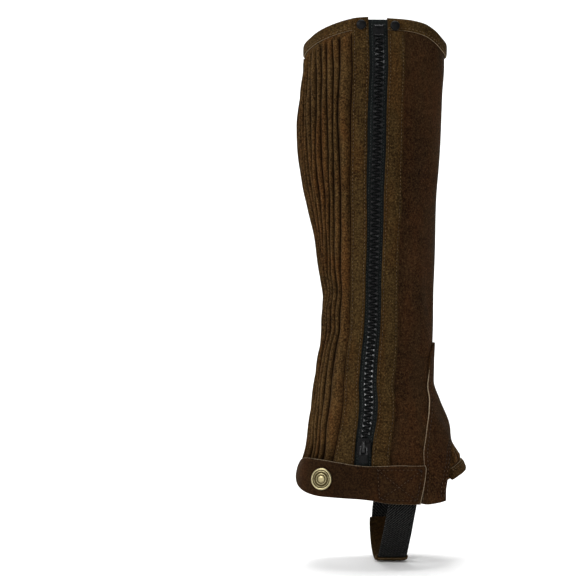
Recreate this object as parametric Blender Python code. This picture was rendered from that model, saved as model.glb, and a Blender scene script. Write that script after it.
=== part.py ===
"""Suede half chap for a right leg, closed round an empty hollow.

+X points to the toe, -Y to the outer side of the leg and +Z up the shin.  The origin lies on
the leg's axis at the fullest part of the calf.  An angle runs round the leg in degrees: 0 is
the shin, 90 the outer side, 180 the back of the calf and 270, or -90, the inner side.
Tables give heights, lengths and offsets in millimetres, and the meshes are in metres.
"""
import bisect
import math

import bmesh
import bpy
from mathutils import Matrix, Vector

MM = 0.001

# Driving dimensions
WALL = 1.8              # thickness of the suede
GAP = 0.5               # clearance between two layers of suede
SEAM = 0.5              # clearance between two edges that meet, in degrees or millimetres
SHIN_TAPER = 0.07       # how much narrower the leg's section is at the shin than at the calf
ROW_STEP = 16.0         # height of one row of facets
RIBS = 14               # ribs of the elastic calf panel
RIB_ROWS = 17
RIB_HEIGHT = 1.9
RIB_SWAY = 0.09         # how far a rib wanders sideways, in its own widths
RIB_SWELL = 0.14        # share by which its height changes on its way down
INSERT_RIBS = 9
INSERT_RIB_HEIGHT = 1.3
ELASTIC_WIDTH = 25.0
ELASTIC_THICK = 1.5
TUCK = 7.0              # how far a panel's edge lies under the zip's facing, in degrees
TAPE_TUCK = 6.3         # and how far the zip's tape does
TAPE_TOP = 90.3
TAPE_DROP = 1.7         # how much lower the tape ends where the facings cover it
TAPE_FOOT = -318.0
TAPE = (0.3, 1.3)       # inner and outer face of the zip's tape, out from the leg's surface
CHAIN = (1.6, 3.8)
CHAIN_WIDTH = 9.0
CHAIN_TOP = 75.6
CHAIN_FOOT = -276.5
BOX_TOP = 85.4          # the square end above the chain
BOX_WIDTH = 9.2
BOX_RISE = 0.6          # how far it stands out past the chain
STUD_DIAMETER = 8.4
STUD_PLACES = (("stud_back", 103.2, 85.4), ("stud_front", 77.0, 84.6))  # angle and height
SNAP_DIAMETER = 19.0
SNAP_PLACE = (136.0, -306.0)
CAP_SEAT = 0.3          # clearance between a cap and the suede under it

# Faces of each layer of suede, out from the leg's surface
BASE = (0.0, WALL)
SECOND = (WALL + GAP, 2 * WALL + GAP)
THIRD = (2 * (WALL + GAP), 3 * WALL + 2 * GAP)
LINING_SIDE = (-WALL - GAP, -GAP)


class Table:
    """Rows of named columns, read by the first column with a smooth curve through the rows."""

    def __init__(self, columns, rows):
        self.names = columns.split()
        self.rows = sorted(rows)
        self.keys = [row[0] for row in self.rows]

    def __call__(self, key, name):
        column = self.names.index(name)
        values = [row[column] for row in self.rows]
        keys = self.keys
        if key <= keys[0]:
            return values[0]
        if key >= keys[-1]:
            return values[-1]
        i = bisect.bisect_right(keys, key) - 1
        slopes = [(b - a) / (q - p) for a, b, p, q in zip(values, values[1:], keys, keys[1:])]

        def tangent(k):
            if k == 0:
                return slopes[0]
            if k == len(keys) - 1:
                return slopes[-1]
            before, after = slopes[k - 1], slopes[k]
            if before * after <= 0.0:
                return 0.0
            return 2.0 * before * after / (before + after)

        width = keys[i + 1] - keys[i]
        t = (key - keys[i]) / width
        rise = values[i + 1] - values[i]
        start, end = tangent(i) * width, tangent(i + 1) * width
        return values[i] + t * (start + t * (3 * rise - 2 * start - end + t * (start + end - 2 * rise)))


# Sections of the leg's surface: its back, its front and half its depth at each height
LEG = Table("height back front depth", [
    (110, -60.5, 58.5, 52.0), (80, -60.5, 58.6, 52.5), (55, -61.6, 58.6, 53.0),
    (30, -64.2, 56.8, 54.0), (0, -66.9, 55.1, 54.0), (-30, -64.7, 53.6, 52.5),
    (-62, -58.9, 51.6, 49.0), (-95, -50.9, 50.6, 45.0), (-125, -46.5, 49.7, 41.5),
    (-150, -43.8, 48.9, 39.5), (-175, -45.1, 48.6, 38.8), (-200, -48.7, 47.7, 39.0),
    (-222, -51.4, 47.0, 40.0), (-240, -53.6, 52.4, 41.2), (-260, -56.2, 60.8, 42.5),
    (-280, -58.6, 66.4, 44.0), (-296, -62.5, 75.2, 45.0), (-310, -65.0, 80.0, 46.0),
    (-330, -65.5, 84.0, 46.5)])

# Upper edge round the leg, and the height of the binding that is folded over it
TOP = Table("angle edge band", [
    (-180, 76.0, 12.0), (-135, 81.0, 12.5), (-90, 84.0, 13.0), (-45, 81.0, 12.5),
    (-20, 77.5, 12.5), (0, 76.2, 12.5), (20, 79.6, 12.5), (34, 84.9, 12.0), (49, 89.4, 11.1),
    (66, 91.3, 10.5), (82, 91.8, 10.5), (98, 92.6, 11.0), (106, 92.3, 10.9), (127, 88.2, 10.6),
    (143, 84.0, 10.6), (160, 79.4, 10.5), (180, 76.0, 12.0)])

# Lower edge round the leg, and the height of the hem that is turned over it
BOTTOM = Table("angle edge band", [
    (-180, -311.5, 13.0), (-157, -311.0, 13.5), (-124, -308.5, 15.5), (-111, -308.0, 14.5),
    (-93, -314.8, 15.5), (-72, -320.0, 14.0), (-45, -323.0, 10.5), (45, -324.5, 10.5),
    (55, -326.6, 11.5), (64, -327.6, 12.0), (72, -325.6, 12.0), (88, -323.5, 12.0),
    (101, -321.5, 12.0), (119, -320.0, 12.0), (133, -317.5, 12.0), (150, -314.0, 12.0),
    (165, -312.0, 12.5), (180, -311.5, 13.0)])

HEM_END = -93.6         # where the lower hem stops, beside the stirrup elastic
HEM_INSTEP_BACK = -70.0     # back edge of the instep piece's hem
HEM_INSTEP_BAND = 11.0
EDGE_SETBACK = 0.4      # how far an upper layer ends from the one under it

# Angles of the zip's edges: facing, tape, centre line, tape and facing
ZIP = Table("height facing_back tape_back centre tape_front facing_front", [
    (95, 110.5, 97.8, 90.0, 82.4, 68.6), (80, 110.5, 97.4, 89.5, 82.2, 68.5),
    (30, 107.6, 95.0, 87.2, 80.2, 66.4), (-7, 106.4, 93.9, 85.9, 78.9, 65.0),
    (-64, 111.0, 97.2, 89.6, 82.2, 66.6), (-104, 117.0, 102.0, 94.6, 86.8, 71.0),
    (-150, 122.0, 106.4, 98.4, 90.2, 73.4), (-196, 122.0, 107.4, 98.2, 90.2, 72.4),
    (-232, 121.8, 107.6, 98.4, 90.2, 74.0), (-272, 127.0, 111.4, 104.2, 97.2, 83.0),
    (-292, 130.0, 112.8, 106.2, 100.0, 86.6), (-330, 133.0, 114.5, 108.2, 102.0, 88.6)])

# Half the clearance between the tapes, which the slider spreads at its lower end
TAPE_SPREAD = Table("height half", [(-330, 3.4), (-281, 2.8), (-262, 0.25), (90, 0.25)])

# Curved front edge of the strip over the join at the calf's inner side
STRIP = Table("height front_edge", [
    (67, -129.5), (47, -132.4), (34, -134.1), (12, -133.7), (-9, -133.1), (-25, -131.6),
    (-41, -129.9), (-62, -127.4), (-89, -123.6), (-105, -120.0), (-120, -117.0),
    (-133, -114.4), (-149, -112.3), (-165, -111.2), (-187, -111.4), (-206, -112.9),
    (-223, -115.2), (-243, -119.5), (-252, -121.7), (-274, -124.6), (-292, -125.0)])
STRIP_BACK = -172.0
JOIN = -164.0           # where the ribbed panel meets the main panel, under the strip

# Outline of the calf patch, a row for each ring of its facets
PATCH = Table("height front back", [
    (42.2, -62, -77), (41.2, -53, -83), (38.8, -44, -89), (35, -36, -94.5), (30, -26.5, -102.5),
    (23.5, -18, -109), (14.5, -13.5, -113.7), (3, -12, -115.7), (-10, -12, -113.5),
    (-36, -12, -110.1), (-75, -12, -107.7), (-98, -12, -106.6), (-129, -12, -106.0),
    (-148, -12.5, -105.0), (-158, -13, -102.6), (-167, -14.5, -99.3), (-175, -18, -95.6),
    (-182, -22.5, -90.5), (-187.5, -28, -85), (-191.5, -34, -79), (-194.3, -41, -72.5),
    (-196, -49, -65)])

# Outline of the instep piece on each side, from its rounded tip over the shin
INSTEP = Table("height outer inner", [
    (-188, 7, 7), (-190, 12, 13), (-194, 17.5, 20.5), (-200, 22, 30), (-208, 25.5, 38),
    (-220, 28.5, 44), (-233, 33.5, 50), (-247, 42, 55), (-259, 48.5, 58.5),
    (-275, 54.7, 62.5), (-294, 61.5, 65.5), (-312, 65.2, 68), (-328, 68, 69)])
INSTEP_OVERLAP = 9.0    # how far it lies over the main panel, in degrees
CUTOUT_TOP = -199.0     # top of the main panel's cutout, under the instep piece
CUTOUT_TIP = 1.0        # half its width at the top, in degrees
CUTOUT_GROWTH = 24.0    # height in which it widens until it follows the instep piece's outline

# Half angle of the notch in the instep piece
NOTCH = Table("height half", [
    (-262, 1.2), (-266, 3), (-274, 14), (-286, 28), (-297, 38.5), (-308, 44.5),
    (-316, 47.5), (-328, 49.5)])
NOTCH_TOP = -262.0
INSERT_OVERLAP = 4.0
INSERT_HEM = 9.5
INSERT_EDGE = -301.5    # lower edge of the gusset at the toe
INSERT_DROP = 9.0       # and how much lower it is at its sides
INSERT_HALF = 37.0      # half the width of its hem, in degrees

# Edges of the closing strap, by angle
STRAP = Table("angle upper lower", [
    (61.5, -294.3, -326.6), (70, -294.0, -326.8), (81, -293.2, -326.2), (90, -293.4, -325.6),
    (101, -293.7, -323.0), (111, -293.0, -321.8), (125, -291.0, -321.2), (138, -289.8, -320.6),
    (148, -289.6, -318.8), (157, -290.2, -316.0), (164, -291.4, -313.4), (169.5, -293.6, -310.6),
    (173.3, -296.8, -307.4), (175, -300.2, -304.4)])

# Route of the stirrup elastic from the outer to the inner side.  Its spread is the share of the
# way out from the foot's middle, 0, to the outer wall, -1, or to the inner one, 1.
STIRRUP = Table("length height back_x front_x spread", [
    (0, -300.0, 12.2, 36.8, -1.0), (14, -314.0, 10.8, 35.5, -1.0), (27, -326.5, 9.0, 33.4, -1.0),
    (40, -339.5, 6.6, 31.2, -0.92), (57, -353.4, 4.6, 29.4, -0.72), (75, -366.8, 2.7, 27.6, -0.46),
    (88, -375.5, 1.4, 26.4, -0.25), (100, -379.2, 0.4, 25.4, 0.0), (111, -376.1, -0.8, 24.2, 0.21),
    (125, -367.4, -2.0, 23.0, 0.43), (140, -355.8, -2.4, 22.6, 0.64),
    (159, -339.3, -1.2, 23.8, 0.85), (173, -326.5, 2.0, 26.8, 0.97),
    (183, -317.0, 5.0, 29.4, 1.0), (200, -300.0, 7.6, 32.3, 1.0), (215, -285.0, 8.2, 32.8, 1.0)])
ELASTIC_OUTER = -WALL / 2 - 0.35    # middle of the elastic, inside the main panel
ELASTIC_INNER = SECOND[0] + ELASTIC_THICK / 2 + 0.05    # and outside it on the other side
STIRRUP_ROWS = 26
SLEEVE_ROWS = (11, 18)  # rows of the elastic that the sleeve covers
SLEEVE_WALL = 1.4
SLEEVE_CLEAR = 0.4

# Corners of the square that holds the elastic, as angles and heights
ANCHOR = Table("row height back front", [
    (0, -271.5, -88.5, -62.0), (1, -305.0, -91.0, -68.0)])


def mix(a, b, t):
    return a + (b - a) * t


def lap(angle):
    """The same angle between -180 and 180 degrees."""
    return (angle + 180.0) % 360.0 - 180.0


def surface(angle, height):
    """A point of the leg's surface."""
    back, front = LEG(height, "back"), LEG(height, "front")
    cosine, sine = math.cos(math.radians(angle)), math.sin(math.radians(angle))
    x = (back + front) / 2 + (front - back) / 2 * cosine
    y = -LEG(height, "depth") * sine * (1 - SHIN_TAPER * cosine)
    return Vector((x, y, height))


def outward(angle, height):
    """The direction straight out of the leg's surface."""
    round_leg = surface(angle + 0.5, height) - surface(angle - 0.5, height)
    up_leg = surface(angle, height + 1.0) - surface(angle, height - 1.0)
    return up_leg.cross(round_leg).normalized()


def leg_point(angle, height, offset):
    return (surface(angle, height) + outward(angle, height) * offset) * MM


def stations(table, step=ROW_STEP):
    """The table's own heights from the top down, with rows added where they lie far apart."""
    keys = table.keys[::-1]
    heights = [keys[0]]
    for upper, lower in zip(keys, keys[1:]):
        count = max(1, math.ceil((upper - lower) / step))
        heights += [mix(upper, lower, k / count) for k in range(1, count + 1)]
    return heights


def between(start, end, count):
    """Even steps from start to end, with both ends."""
    return [mix(start, end, k / count) for k in range(count + 1)]


def make_material(name, colour, roughness, metallic=0.0):
    material = bpy.data.materials.new(name)
    material.use_nodes = True
    shader = material.node_tree.nodes["Principled BSDF"]
    shader.inputs["Base Color"].default_value = (*colour, 1.0)
    shader.inputs["Roughness"].default_value = roughness
    shader.inputs["Metallic"].default_value = metallic
    material.diffuse_color = (*colour, 1.0)
    return material


def add_object(name, bm, collection, material, smooth=40.0):
    bmesh.ops.recalc_face_normals(bm, faces=bm.faces[:])
    mesh = bpy.data.meshes.new(name)
    bm.to_mesh(mesh)
    bm.free()
    mesh.shade_smooth()
    mesh.set_sharp_from_angle(angle=math.radians(smooth))
    mesh.materials.append(material)
    piece = bpy.data.objects.new(name, mesh)
    collection.objects.link(piece)
    return piece


def wall(columns, rows, inner, outer, keep=None, tube=False):
    """A closed wall of facets.

    inner(column, row) and outer(column, row) give its two faces.  keep(column, row) says which
    facets it has, and a tube's last column is welded to its first.
    """
    bm = bmesh.new()
    bmesh.ops.create_grid(bm, x_segments=columns, y_segments=rows, size=0.5)
    column_of = bm.verts.layers.int.new("column")
    row_of = bm.verts.layers.int.new("row")
    for vert in bm.verts:
        vert[column_of] = round((vert.co.x + 0.5) * columns)
        vert[row_of] = round((vert.co.y + 0.5) * rows)
    if keep:
        holes = []
        for face in bm.faces:
            column = min(vert[column_of] for vert in face.verts)
            row = min(vert[row_of] for vert in face.verts)
            if not keep(column, row):
                holes.append(face)
        bmesh.ops.delete(bm, geom=holes, context="FACES")
    for vert in bm.verts:
        vert.co = inner(vert[column_of], vert[row_of])
    if tube:
        bmesh.ops.remove_doubles(bm, verts=bm.verts[:], dist=1e-6)
    result = bmesh.ops.extrude_face_region(bm, geom=bm.faces[:], use_keep_orig=True)
    for vert in result["geom"]:
        if isinstance(vert, bmesh.types.BMVert):
            vert.co = outer(vert[column_of], vert[row_of])
    return bm


def leg_wall(angles, heights, layer, keep=None, relief=None):
    """A wall on the leg.

    angles(height) lists the angle of each column, and heights(angle) the height of each row.
    relief(column, row, angle, height) is added to the outer face.
    """
    middle = heights(0.0)
    columns = len(angles(middle[0])) - 1
    rows = len(middle) - 1
    places = {}

    def place(column, row):
        if (column, row) not in places:
            height = middle[row]
            for _ in range(8):
                angle = angles(height)[column]
                height = heights(angle)[row]
            places[column, row] = (angle, height)
        return places[column, row]

    def inner(column, row):
        return leg_point(*place(column, row), layer[0])

    def outer(column, row):
        angle, height = place(column, row)
        raised = relief(column, row, angle, height) if relief else 0.0
        return leg_point(angle, height, layer[1] + raised)

    return wall(columns, rows, inner, outer, keep)


def upper_edge(angle):
    """Top of a panel under the binding."""
    return TOP(lap(angle), "edge") - WALL - GAP


def below_binding(angle):
    return TOP(lap(angle), "edge") - TOP(lap(angle), "band") - SEAM


def lower_edge(angle):
    """Bottom of a panel: over the turned hem, or at the raw edge under the strap."""
    turned = WALL + GAP
    past_hem = lap(angle) - HEM_END - 5.6
    if past_hem > 0.0 and lap(angle) < 110.0:
        turned = max(EDGE_SETBACK, turned - past_hem / 4.0)
    return BOTTOM(lap(angle), "edge") + turned


def above_hem(angle):
    return BOTTOM(lap(angle), "edge") + BOTTOM(lap(angle), "band") + SEAM


def span(top, bottom, step=ROW_STEP):
    """A function that gives the heights of even rows between two edges of the leg."""
    count = math.ceil((top(90.0) - bottom(90.0)) / step)
    return lambda angle: between(top(angle), bottom(angle), count)


def folded_band(start, end, columns, edge, line, down):
    """A band folded over an edge: an outer leg, the fold and an inner leg.

    edge(angle) is the fold's height and line(angle) that of the outer leg's free edge.  down is
    1 where the band hangs from an upper edge, and -1 where it stands on a lower one.
    """
    outer_path = [
        (SECOND[1], None), (SECOND[1], 5.0), (SECOND[1], 1.4), (SECOND[1] - 1.2, 0.0),
        (LINING_SIDE[0] + 1.2, 0.0), (LINING_SIDE[0], 1.4), (LINING_SIDE[0], None)]
    inner_path = [
        (SECOND[0], None), (SECOND[0], 5.0), (SECOND[0], WALL + 0.3), (SECOND[0] - 0.4, WALL),
        (LINING_SIDE[1] + 0.4, WALL), (LINING_SIDE[1], WALL + 0.3), (LINING_SIDE[1], None)]
    angles = between(start, end, columns)

    def place(path, column, row):
        angle = angles[column]
        offset, depth = path[row]
        if depth is None:
            height = line(angle)
        else:
            height = edge(angle) - depth * down
        return leg_point(angle, height, offset)

    return wall(columns, len(outer_path) - 1,
                lambda column, row: place(inner_path, column, row),
                lambda column, row: place(outer_path, column, row))


def make_main_panel(collection, suede):
    """Shin and inner side, with a pointed cutout over the instep."""
    outer_side, inner_side = 9, 14
    rows_above, rows_below = 17, 12

    def angles(height):
        start = ZIP(height, "tape_front") - TUCK
        grow = min(1.0, max(0.0, (CUTOUT_TOP - height) / CUTOUT_GROWTH))
        outer_edge = mix(CUTOUT_TIP, INSTEP(height, "outer") - INSTEP_OVERLAP, grow)
        inner_edge = mix(CUTOUT_TIP, INSTEP(height, "inner") - INSTEP_OVERLAP, grow)
        return (between(start, outer_edge, outer_side)
                + between(-inner_edge, JOIN + SEAM / 2, inner_side))

    def rows(angle):
        above = between(upper_edge(angle), CUTOUT_TOP, rows_above)
        below = between(CUTOUT_TOP, lower_edge(angle), rows_below)
        return above + below[1:]

    def keep(column, row):
        return column != outer_side or row < rows_above

    return add_object("main_panel", leg_wall(angles, rows, BASE, keep), collection, suede)


def make_ribbed_panel(collection, suede):
    """Gathered calf panel, with ribs raised over a plain inside."""
    points = 3              # columns of facets in a rib
    margin = 0.9            # between the ribs and what lies over the panel's sides
    ends = 3.0              # length in which a rib sinks to its end
    groove = 0.4

    def angles(height):
        start = ZIP(height, "tape_back") + TUCK
        first = ZIP(height, "facing_back") + margin
        last = STRIP_BACK + 360.0 - margin
        ribs = between(first, last, RIBS * points)
        pitch = (last - first) / RIBS
        for k in range(1, len(ribs) - 1):
            rib = k // points
            sway = math.sin(height / 31.0 + rib * 1.9) + 0.6 * math.sin(height / 17.0 + rib * 0.7)
            ribs[k] += RIB_SWAY * pitch * sway
        return [start] + ribs + [JOIN + 360.0 - SEAM / 2]

    def heights(angle):
        top = below_binding(angle) - SEAM / 2
        bottom = above_hem(angle) + SEAM / 2
        return ([upper_edge(angle), top] + between(top - ends, bottom + ends, RIB_ROWS)
                + [bottom, lower_edge(angle)])

    def relief(column, row, angle, height):
        rib = column - 1
        if row <= 1 or row >= RIB_ROWS + 3:
            return 0.0
        if rib <= 0 or rib >= RIBS * points or rib % points == 0:
            return -groove
        swell = 1.0 + RIB_SWELL * math.sin(row * 0.9 + rib // points * 2.3)
        return RIB_HEIGHT * swell - groove

    return add_object("ribbed_panel", leg_wall(angles, heights, BASE, relief=relief),
                      collection, suede, smooth=70.0)


def make_back_strip(collection, suede):
    def angles(height):
        return between(STRIP_BACK, STRIP(height, "front_edge"), 5)

    rows = span(below_binding, above_hem)
    return add_object("back_strip", leg_wall(angles, rows, SECOND), collection, suede)


def make_calf_patch(collection, suede):
    levels = stations(PATCH)

    def angles(height):
        return between(PATCH(height, "front"), PATCH(height, "back"), 10)

    return add_object("calf_patch", leg_wall(angles, lambda angle: levels, SECOND),
                      collection, suede)


def make_facings(collection, suede):
    """Suede strips that hold the zip's tape on each side."""
    def back_angles(height):
        return between(ZIP(height, "tape_back"), ZIP(height, "facing_back"), 2)

    def front_angles(height):
        return between(ZIP(height, "tape_front"), ZIP(height, "facing_front"), 2)

    def full_top(angle):
        return TOP(lap(angle), "edge") - EDGE_SETBACK

    def foot(angle):
        return BOTTOM(lap(angle), "edge") + EDGE_SETBACK

    add_object("zip_facing_back", leg_wall(back_angles, span(full_top, foot), SECOND),
               collection, suede)
    add_object("zip_facing_front", leg_wall(front_angles, span(below_binding, foot), SECOND),
               collection, suede)


def zip_angle(height, line, across):
    """Angle of a point some millimetres from a line of the zip, towards the back."""
    angle = ZIP(height, line)
    length = (surface(angle + 1.0, height) - surface(angle, height)).length
    return angle + across / length


def make_tapes(collection, cloth):
    rows = 25
    half = (ZIP(TAPE_TOP, "tape_back") - ZIP(TAPE_TOP, "tape_front")) / 2
    middle = (ZIP(TAPE_TOP, "tape_back") + ZIP(TAPE_TOP, "tape_front")) / 2

    def levels(angle):
        covered = abs(angle - middle) > half + 1.0
        return between(TAPE_TOP - TAPE_DROP if covered else TAPE_TOP, TAPE_FOOT, rows)

    def back_angles(height):
        inner_edge = zip_angle(height, "centre", TAPE_SPREAD(height, "half"))
        return between(inner_edge, ZIP(height, "tape_back") + TAPE_TUCK, 3)

    def front_angles(height):
        inner_edge = zip_angle(height, "centre", -TAPE_SPREAD(height, "half"))
        return between(inner_edge, ZIP(height, "tape_front") - TAPE_TUCK, 3)

    add_object("zip_tape_back", leg_wall(back_angles, levels, TAPE), collection, cloth)
    add_object("zip_tape_front", leg_wall(front_angles, levels, TAPE), collection, cloth)


def make_chain(collection, plastic):
    """The closed row of teeth, and the box at its top."""
    def bar(name, width, top, foot, rows, layer):
        def angles(height):
            return [zip_angle(height, "centre", across) for across in (-width / 2, 0.0, width / 2)]

        add_object(name, leg_wall(angles, lambda angle: between(top, foot, rows), layer),
                   collection, plastic)

    bar("zip_chain", CHAIN_WIDTH, CHAIN_TOP, CHAIN_FOOT, 24, CHAIN)
    bar("zip_box", BOX_WIDTH, BOX_TOP, CHAIN_TOP + GAP, 2, (CHAIN[0], CHAIN[1] + BOX_RISE))


def leg_frame(angle, height, offset):
    """A frame on the leg: X towards the toe round the leg, Y up the leg and Z straight out."""
    out = outward(angle, height)
    up = Vector((0.0, 0.0, 1.0))
    up = (up - out * up.dot(out)).normalized()
    side = up.cross(out)
    frame = Matrix((side, up, out)).transposed().to_4x4()
    frame.translation = leg_point(angle, height, offset)
    return frame


def turned_cap(name, frame, profile, collection, material):
    """A round cap: a profile of radius and height pairs, turned about the frame's Z axis."""
    bm = bmesh.new()
    points = [Vector((radius * MM, 0.0, rise * MM)) for radius, rise in profile]
    verts = [bm.verts.new(point) for point in points]
    edges = [bm.edges.new(pair) for pair in zip(verts, verts[1:])]
    bmesh.ops.spin(bm, geom=verts + edges, cent=(0, 0, 0), axis=(0, 0, 1),
                   angle=math.tau, steps=24, use_merge=True)
    bmesh.ops.remove_doubles(bm, verts=bm.verts[:], dist=1e-6)
    bmesh.ops.transform(bm, matrix=frame, verts=bm.verts[:])
    return add_object(name, bm, collection, material)


def make_binding(collection, suede):
    """Binding over the upper edge, from the back facing round to the front tape."""
    def fold(angle):
        return TOP(lap(angle), "edge")

    def line(angle):
        return TOP(lap(angle), "edge") - TOP(lap(angle), "band")

    first = ZIP(BOX_TOP, "facing_back") + SEAM - 360.0
    last = ZIP(BOX_TOP, "tape_front")
    add_object("top_binding", folded_band(first, last, 32, fold, line, 1.0), collection, suede)


def make_hems(collection, suede):
    def fold(angle):
        return BOTTOM(lap(angle), "edge")

    def line(angle):
        return BOTTOM(lap(angle), "edge") + BOTTOM(lap(angle), "band")

    first = ZIP(TAPE_FOOT, "facing_back") + SEAM - 360.0
    bm = folded_band(first, HEM_END, 17, fold, line, -1.0)
    add_object("hem_lower", bm, collection, suede)

    def instep_angles(height):
        return between(HEM_INSTEP_BACK, -(NOTCH(height, "half") + SEAM / 2), 4)

    def instep_levels(angle):
        low = BOTTOM(lap(angle), "edge") - EDGE_SETBACK
        return between(low + HEM_INSTEP_BAND, low, 2)

    add_object("hem_instep", leg_wall(instep_angles, instep_levels, THIRD), collection, suede)


def make_instep_piece(collection, suede):
    """Piece over the instep, with a rounded tip and a notch for the gusset."""
    half_columns = 6
    levels = [height for height in stations(INSTEP, 10.0) if height > TAPE_FOOT]

    def angles(height):
        notch = NOTCH(height, "half")
        return (between(INSTEP(height, "outer"), notch, half_columns)
                + between(-notch, -INSTEP(height, "inner"), half_columns))

    def heights(angle):
        end = BOTTOM(lap(angle), "edge") + EDGE_SETBACK
        return levels[:-1] + [mix(levels[-2], end, 0.5), end]

    def keep(column, row):
        return column != half_columns or levels[min(row, len(levels) - 1)] > NOTCH_TOP

    add_object("instep_piece", leg_wall(angles, heights, SECOND, keep), collection, suede)


def insert_edge(angle):
    """Lower edge of the gusset."""
    return INSERT_EDGE - INSERT_DROP * min(1.0, abs(angle) / 45.0) ** 2


def make_insert(collection, suede):
    """Ribbed elastic gusset in the notch of the instep piece."""
    points = 2
    columns = INSERT_RIBS * points
    groove = 0.3
    ends = 2.0
    margin = 4.0

    def angles(height):
        half = NOTCH(height, "half") + INSERT_OVERLAP
        return between(half, -half, columns)

    def heights(angle):
        low = insert_edge(angle)
        return (between(NOTCH_TOP, low + INSERT_HEM + ends, 3)
                + [low + INSERT_HEM + SEAM / 2, low + WALL + GAP])

    def relief(column, row, angle, height):
        covered = abs(angle) > NOTCH(height, "half") - margin or row >= 4
        return -groove if covered or column % points == 0 else INSERT_RIB_HEIGHT - groove

    add_object("instep_insert", leg_wall(angles, heights, BASE, relief=relief),
               collection, suede, smooth=70.0)


def make_insert_hem(collection, suede):
    def line(angle):
        return insert_edge(angle) + INSERT_HEM

    bm = folded_band(-INSERT_HALF, INSERT_HALF, 9, insert_edge, line, -1.0)
    add_object("insert_hem", bm, collection, suede)


def make_strap(collection, suede):
    """Closing strap from the instep piece round to its round tip at the back."""
    columns = stations(STRAP, 9.0)

    def heights(angle):
        return between(STRAP(angle, "upper"), STRAP(angle, "lower"), 3)

    add_object("snap_strap", leg_wall(lambda height: columns, heights, THIRD),
               collection, suede)


def make_fasteners(collection, plastic, brass):
    stud = STUD_DIAMETER / 2
    profile = [(0.0, 0.0), (stud - 0.6, 0.0), (stud, 0.6), (stud, 1.2), (stud - 0.9, 2.0),
               (stud - 2.2, 2.4), (0.0, 2.5)]
    for name, angle, height in STUD_PLACES:
        frame = leg_frame(angle, height, SECOND[1] + CAP_SEAT)
        turned_cap(name, frame, profile, collection, plastic)
    snap = SNAP_DIAMETER / 2
    profile = [(0.0, 0.0), (snap - 0.6, 0.0), (snap, 0.7), (snap - 0.1, 1.5), (snap - 0.8, 2.2),
               (snap - 1.6, 2.2), (snap - 2.2, 1.6), (snap - 4.5, 1.9), (0.0, 2.2)]
    frame = leg_frame(*SNAP_PLACE, THIRD[1] + CAP_SEAT)
    turned_cap("snap_button", frame, profile, collection, brass)


def block(bm, size, centre, bevel=0.0):
    """A box of a size in millimetres, with its edges rounded, added to the mesh."""
    verts = bmesh.ops.create_cube(bm, size=1.0)["verts"]
    bmesh.ops.scale(bm, vec=Vector(size) * MM, verts=verts)
    bmesh.ops.translate(bm, vec=Vector(centre) * MM, verts=verts)
    if bevel:
        edges = list({edge for vert in verts for edge in vert.link_edges})
        bmesh.ops.bevel(bm, geom=edges, offset=bevel * MM, offset_type="OFFSET",
                        segments=2, profile=0.5, affect="EDGES", material=-1)


def unite(target, others):
    """Joins pieces into one closed body."""
    for other in others:
        union = target.modifiers.new("union", "BOOLEAN")
        union.operation = "UNION"
        union.object = other
    depsgraph = bpy.context.evaluated_depsgraph_get()
    mesh = bpy.data.meshes.new_from_object(target.evaluated_get(depsgraph))
    target.modifiers.clear()
    target.data = mesh
    for other in others:
        bpy.data.objects.remove(other)


# Zip slider, in its own frame: X round the leg, Y up the leg, Z straight out, in millimetres
SLIDER_HEIGHT = -277.0
SLIDER_LENGTH = 15.0
SLIDER_PLATE = (4.1, 5.1)
SLIDER_UNDER = (-1.2, 0.0)
BRIDGE_WIDTH = 3.0
PIN_RISE = 1.6          # hinge axis above the slider's upper plate
PIN_RADIUS = 0.8
TAB_LENGTH = 14.2
TAB_WIDTH = 7.4


def slider_frame():
    return leg_frame(ZIP(SLIDER_HEIGHT, "centre"), SLIDER_HEIGHT, 0.0)


def make_slider(collection, plastic):
    """Slider: an upper and a lower plate, the wedge between them and the bridge."""
    frame = slider_frame()
    low, high = SLIDER_UNDER, SLIDER_PLATE
    # Size and centre of each block, round, along and out, and how far its edges are rounded
    parts = [
        ((12.4, SLIDER_LENGTH, high[1] - high[0]), (0.0, 0.0, sum(high) / 2), 0.4),
        ((11.0, SLIDER_LENGTH - 1.0, low[1] - low[0]), (0.0, 0.0, sum(low) / 2), 0.4),
        ((3.2, 2.6, high[1] - low[0] - 1.0), (0.0, -5.6, (low[0] + high[1]) / 2), 0.0),
        ((BRIDGE_WIDTH - 0.2, 1.7, 3.5), (0.0, 4.0, high[1] + 1.45), 0.0),
        ((BRIDGE_WIDTH - 0.2, 1.7, 3.5), (0.0, -4.0, high[1] + 1.45), 0.0),
        ((BRIDGE_WIDTH, 9.9, 1.2), (0.0, 0.0, high[1] + 3.4), 0.3),
    ]
    pieces = []
    for number, (size, centre, bevel) in enumerate(parts):
        bm = bmesh.new()
        block(bm, size, centre, bevel)
        bmesh.ops.transform(bm, matrix=frame, verts=bm.verts[:])
        name = "zip_slider" if number == 0 else f"slider_part_{number}"
        pieces.append(add_object(name, bm, collection, plastic))
    unite(pieces[0], pieces[1:])


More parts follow.
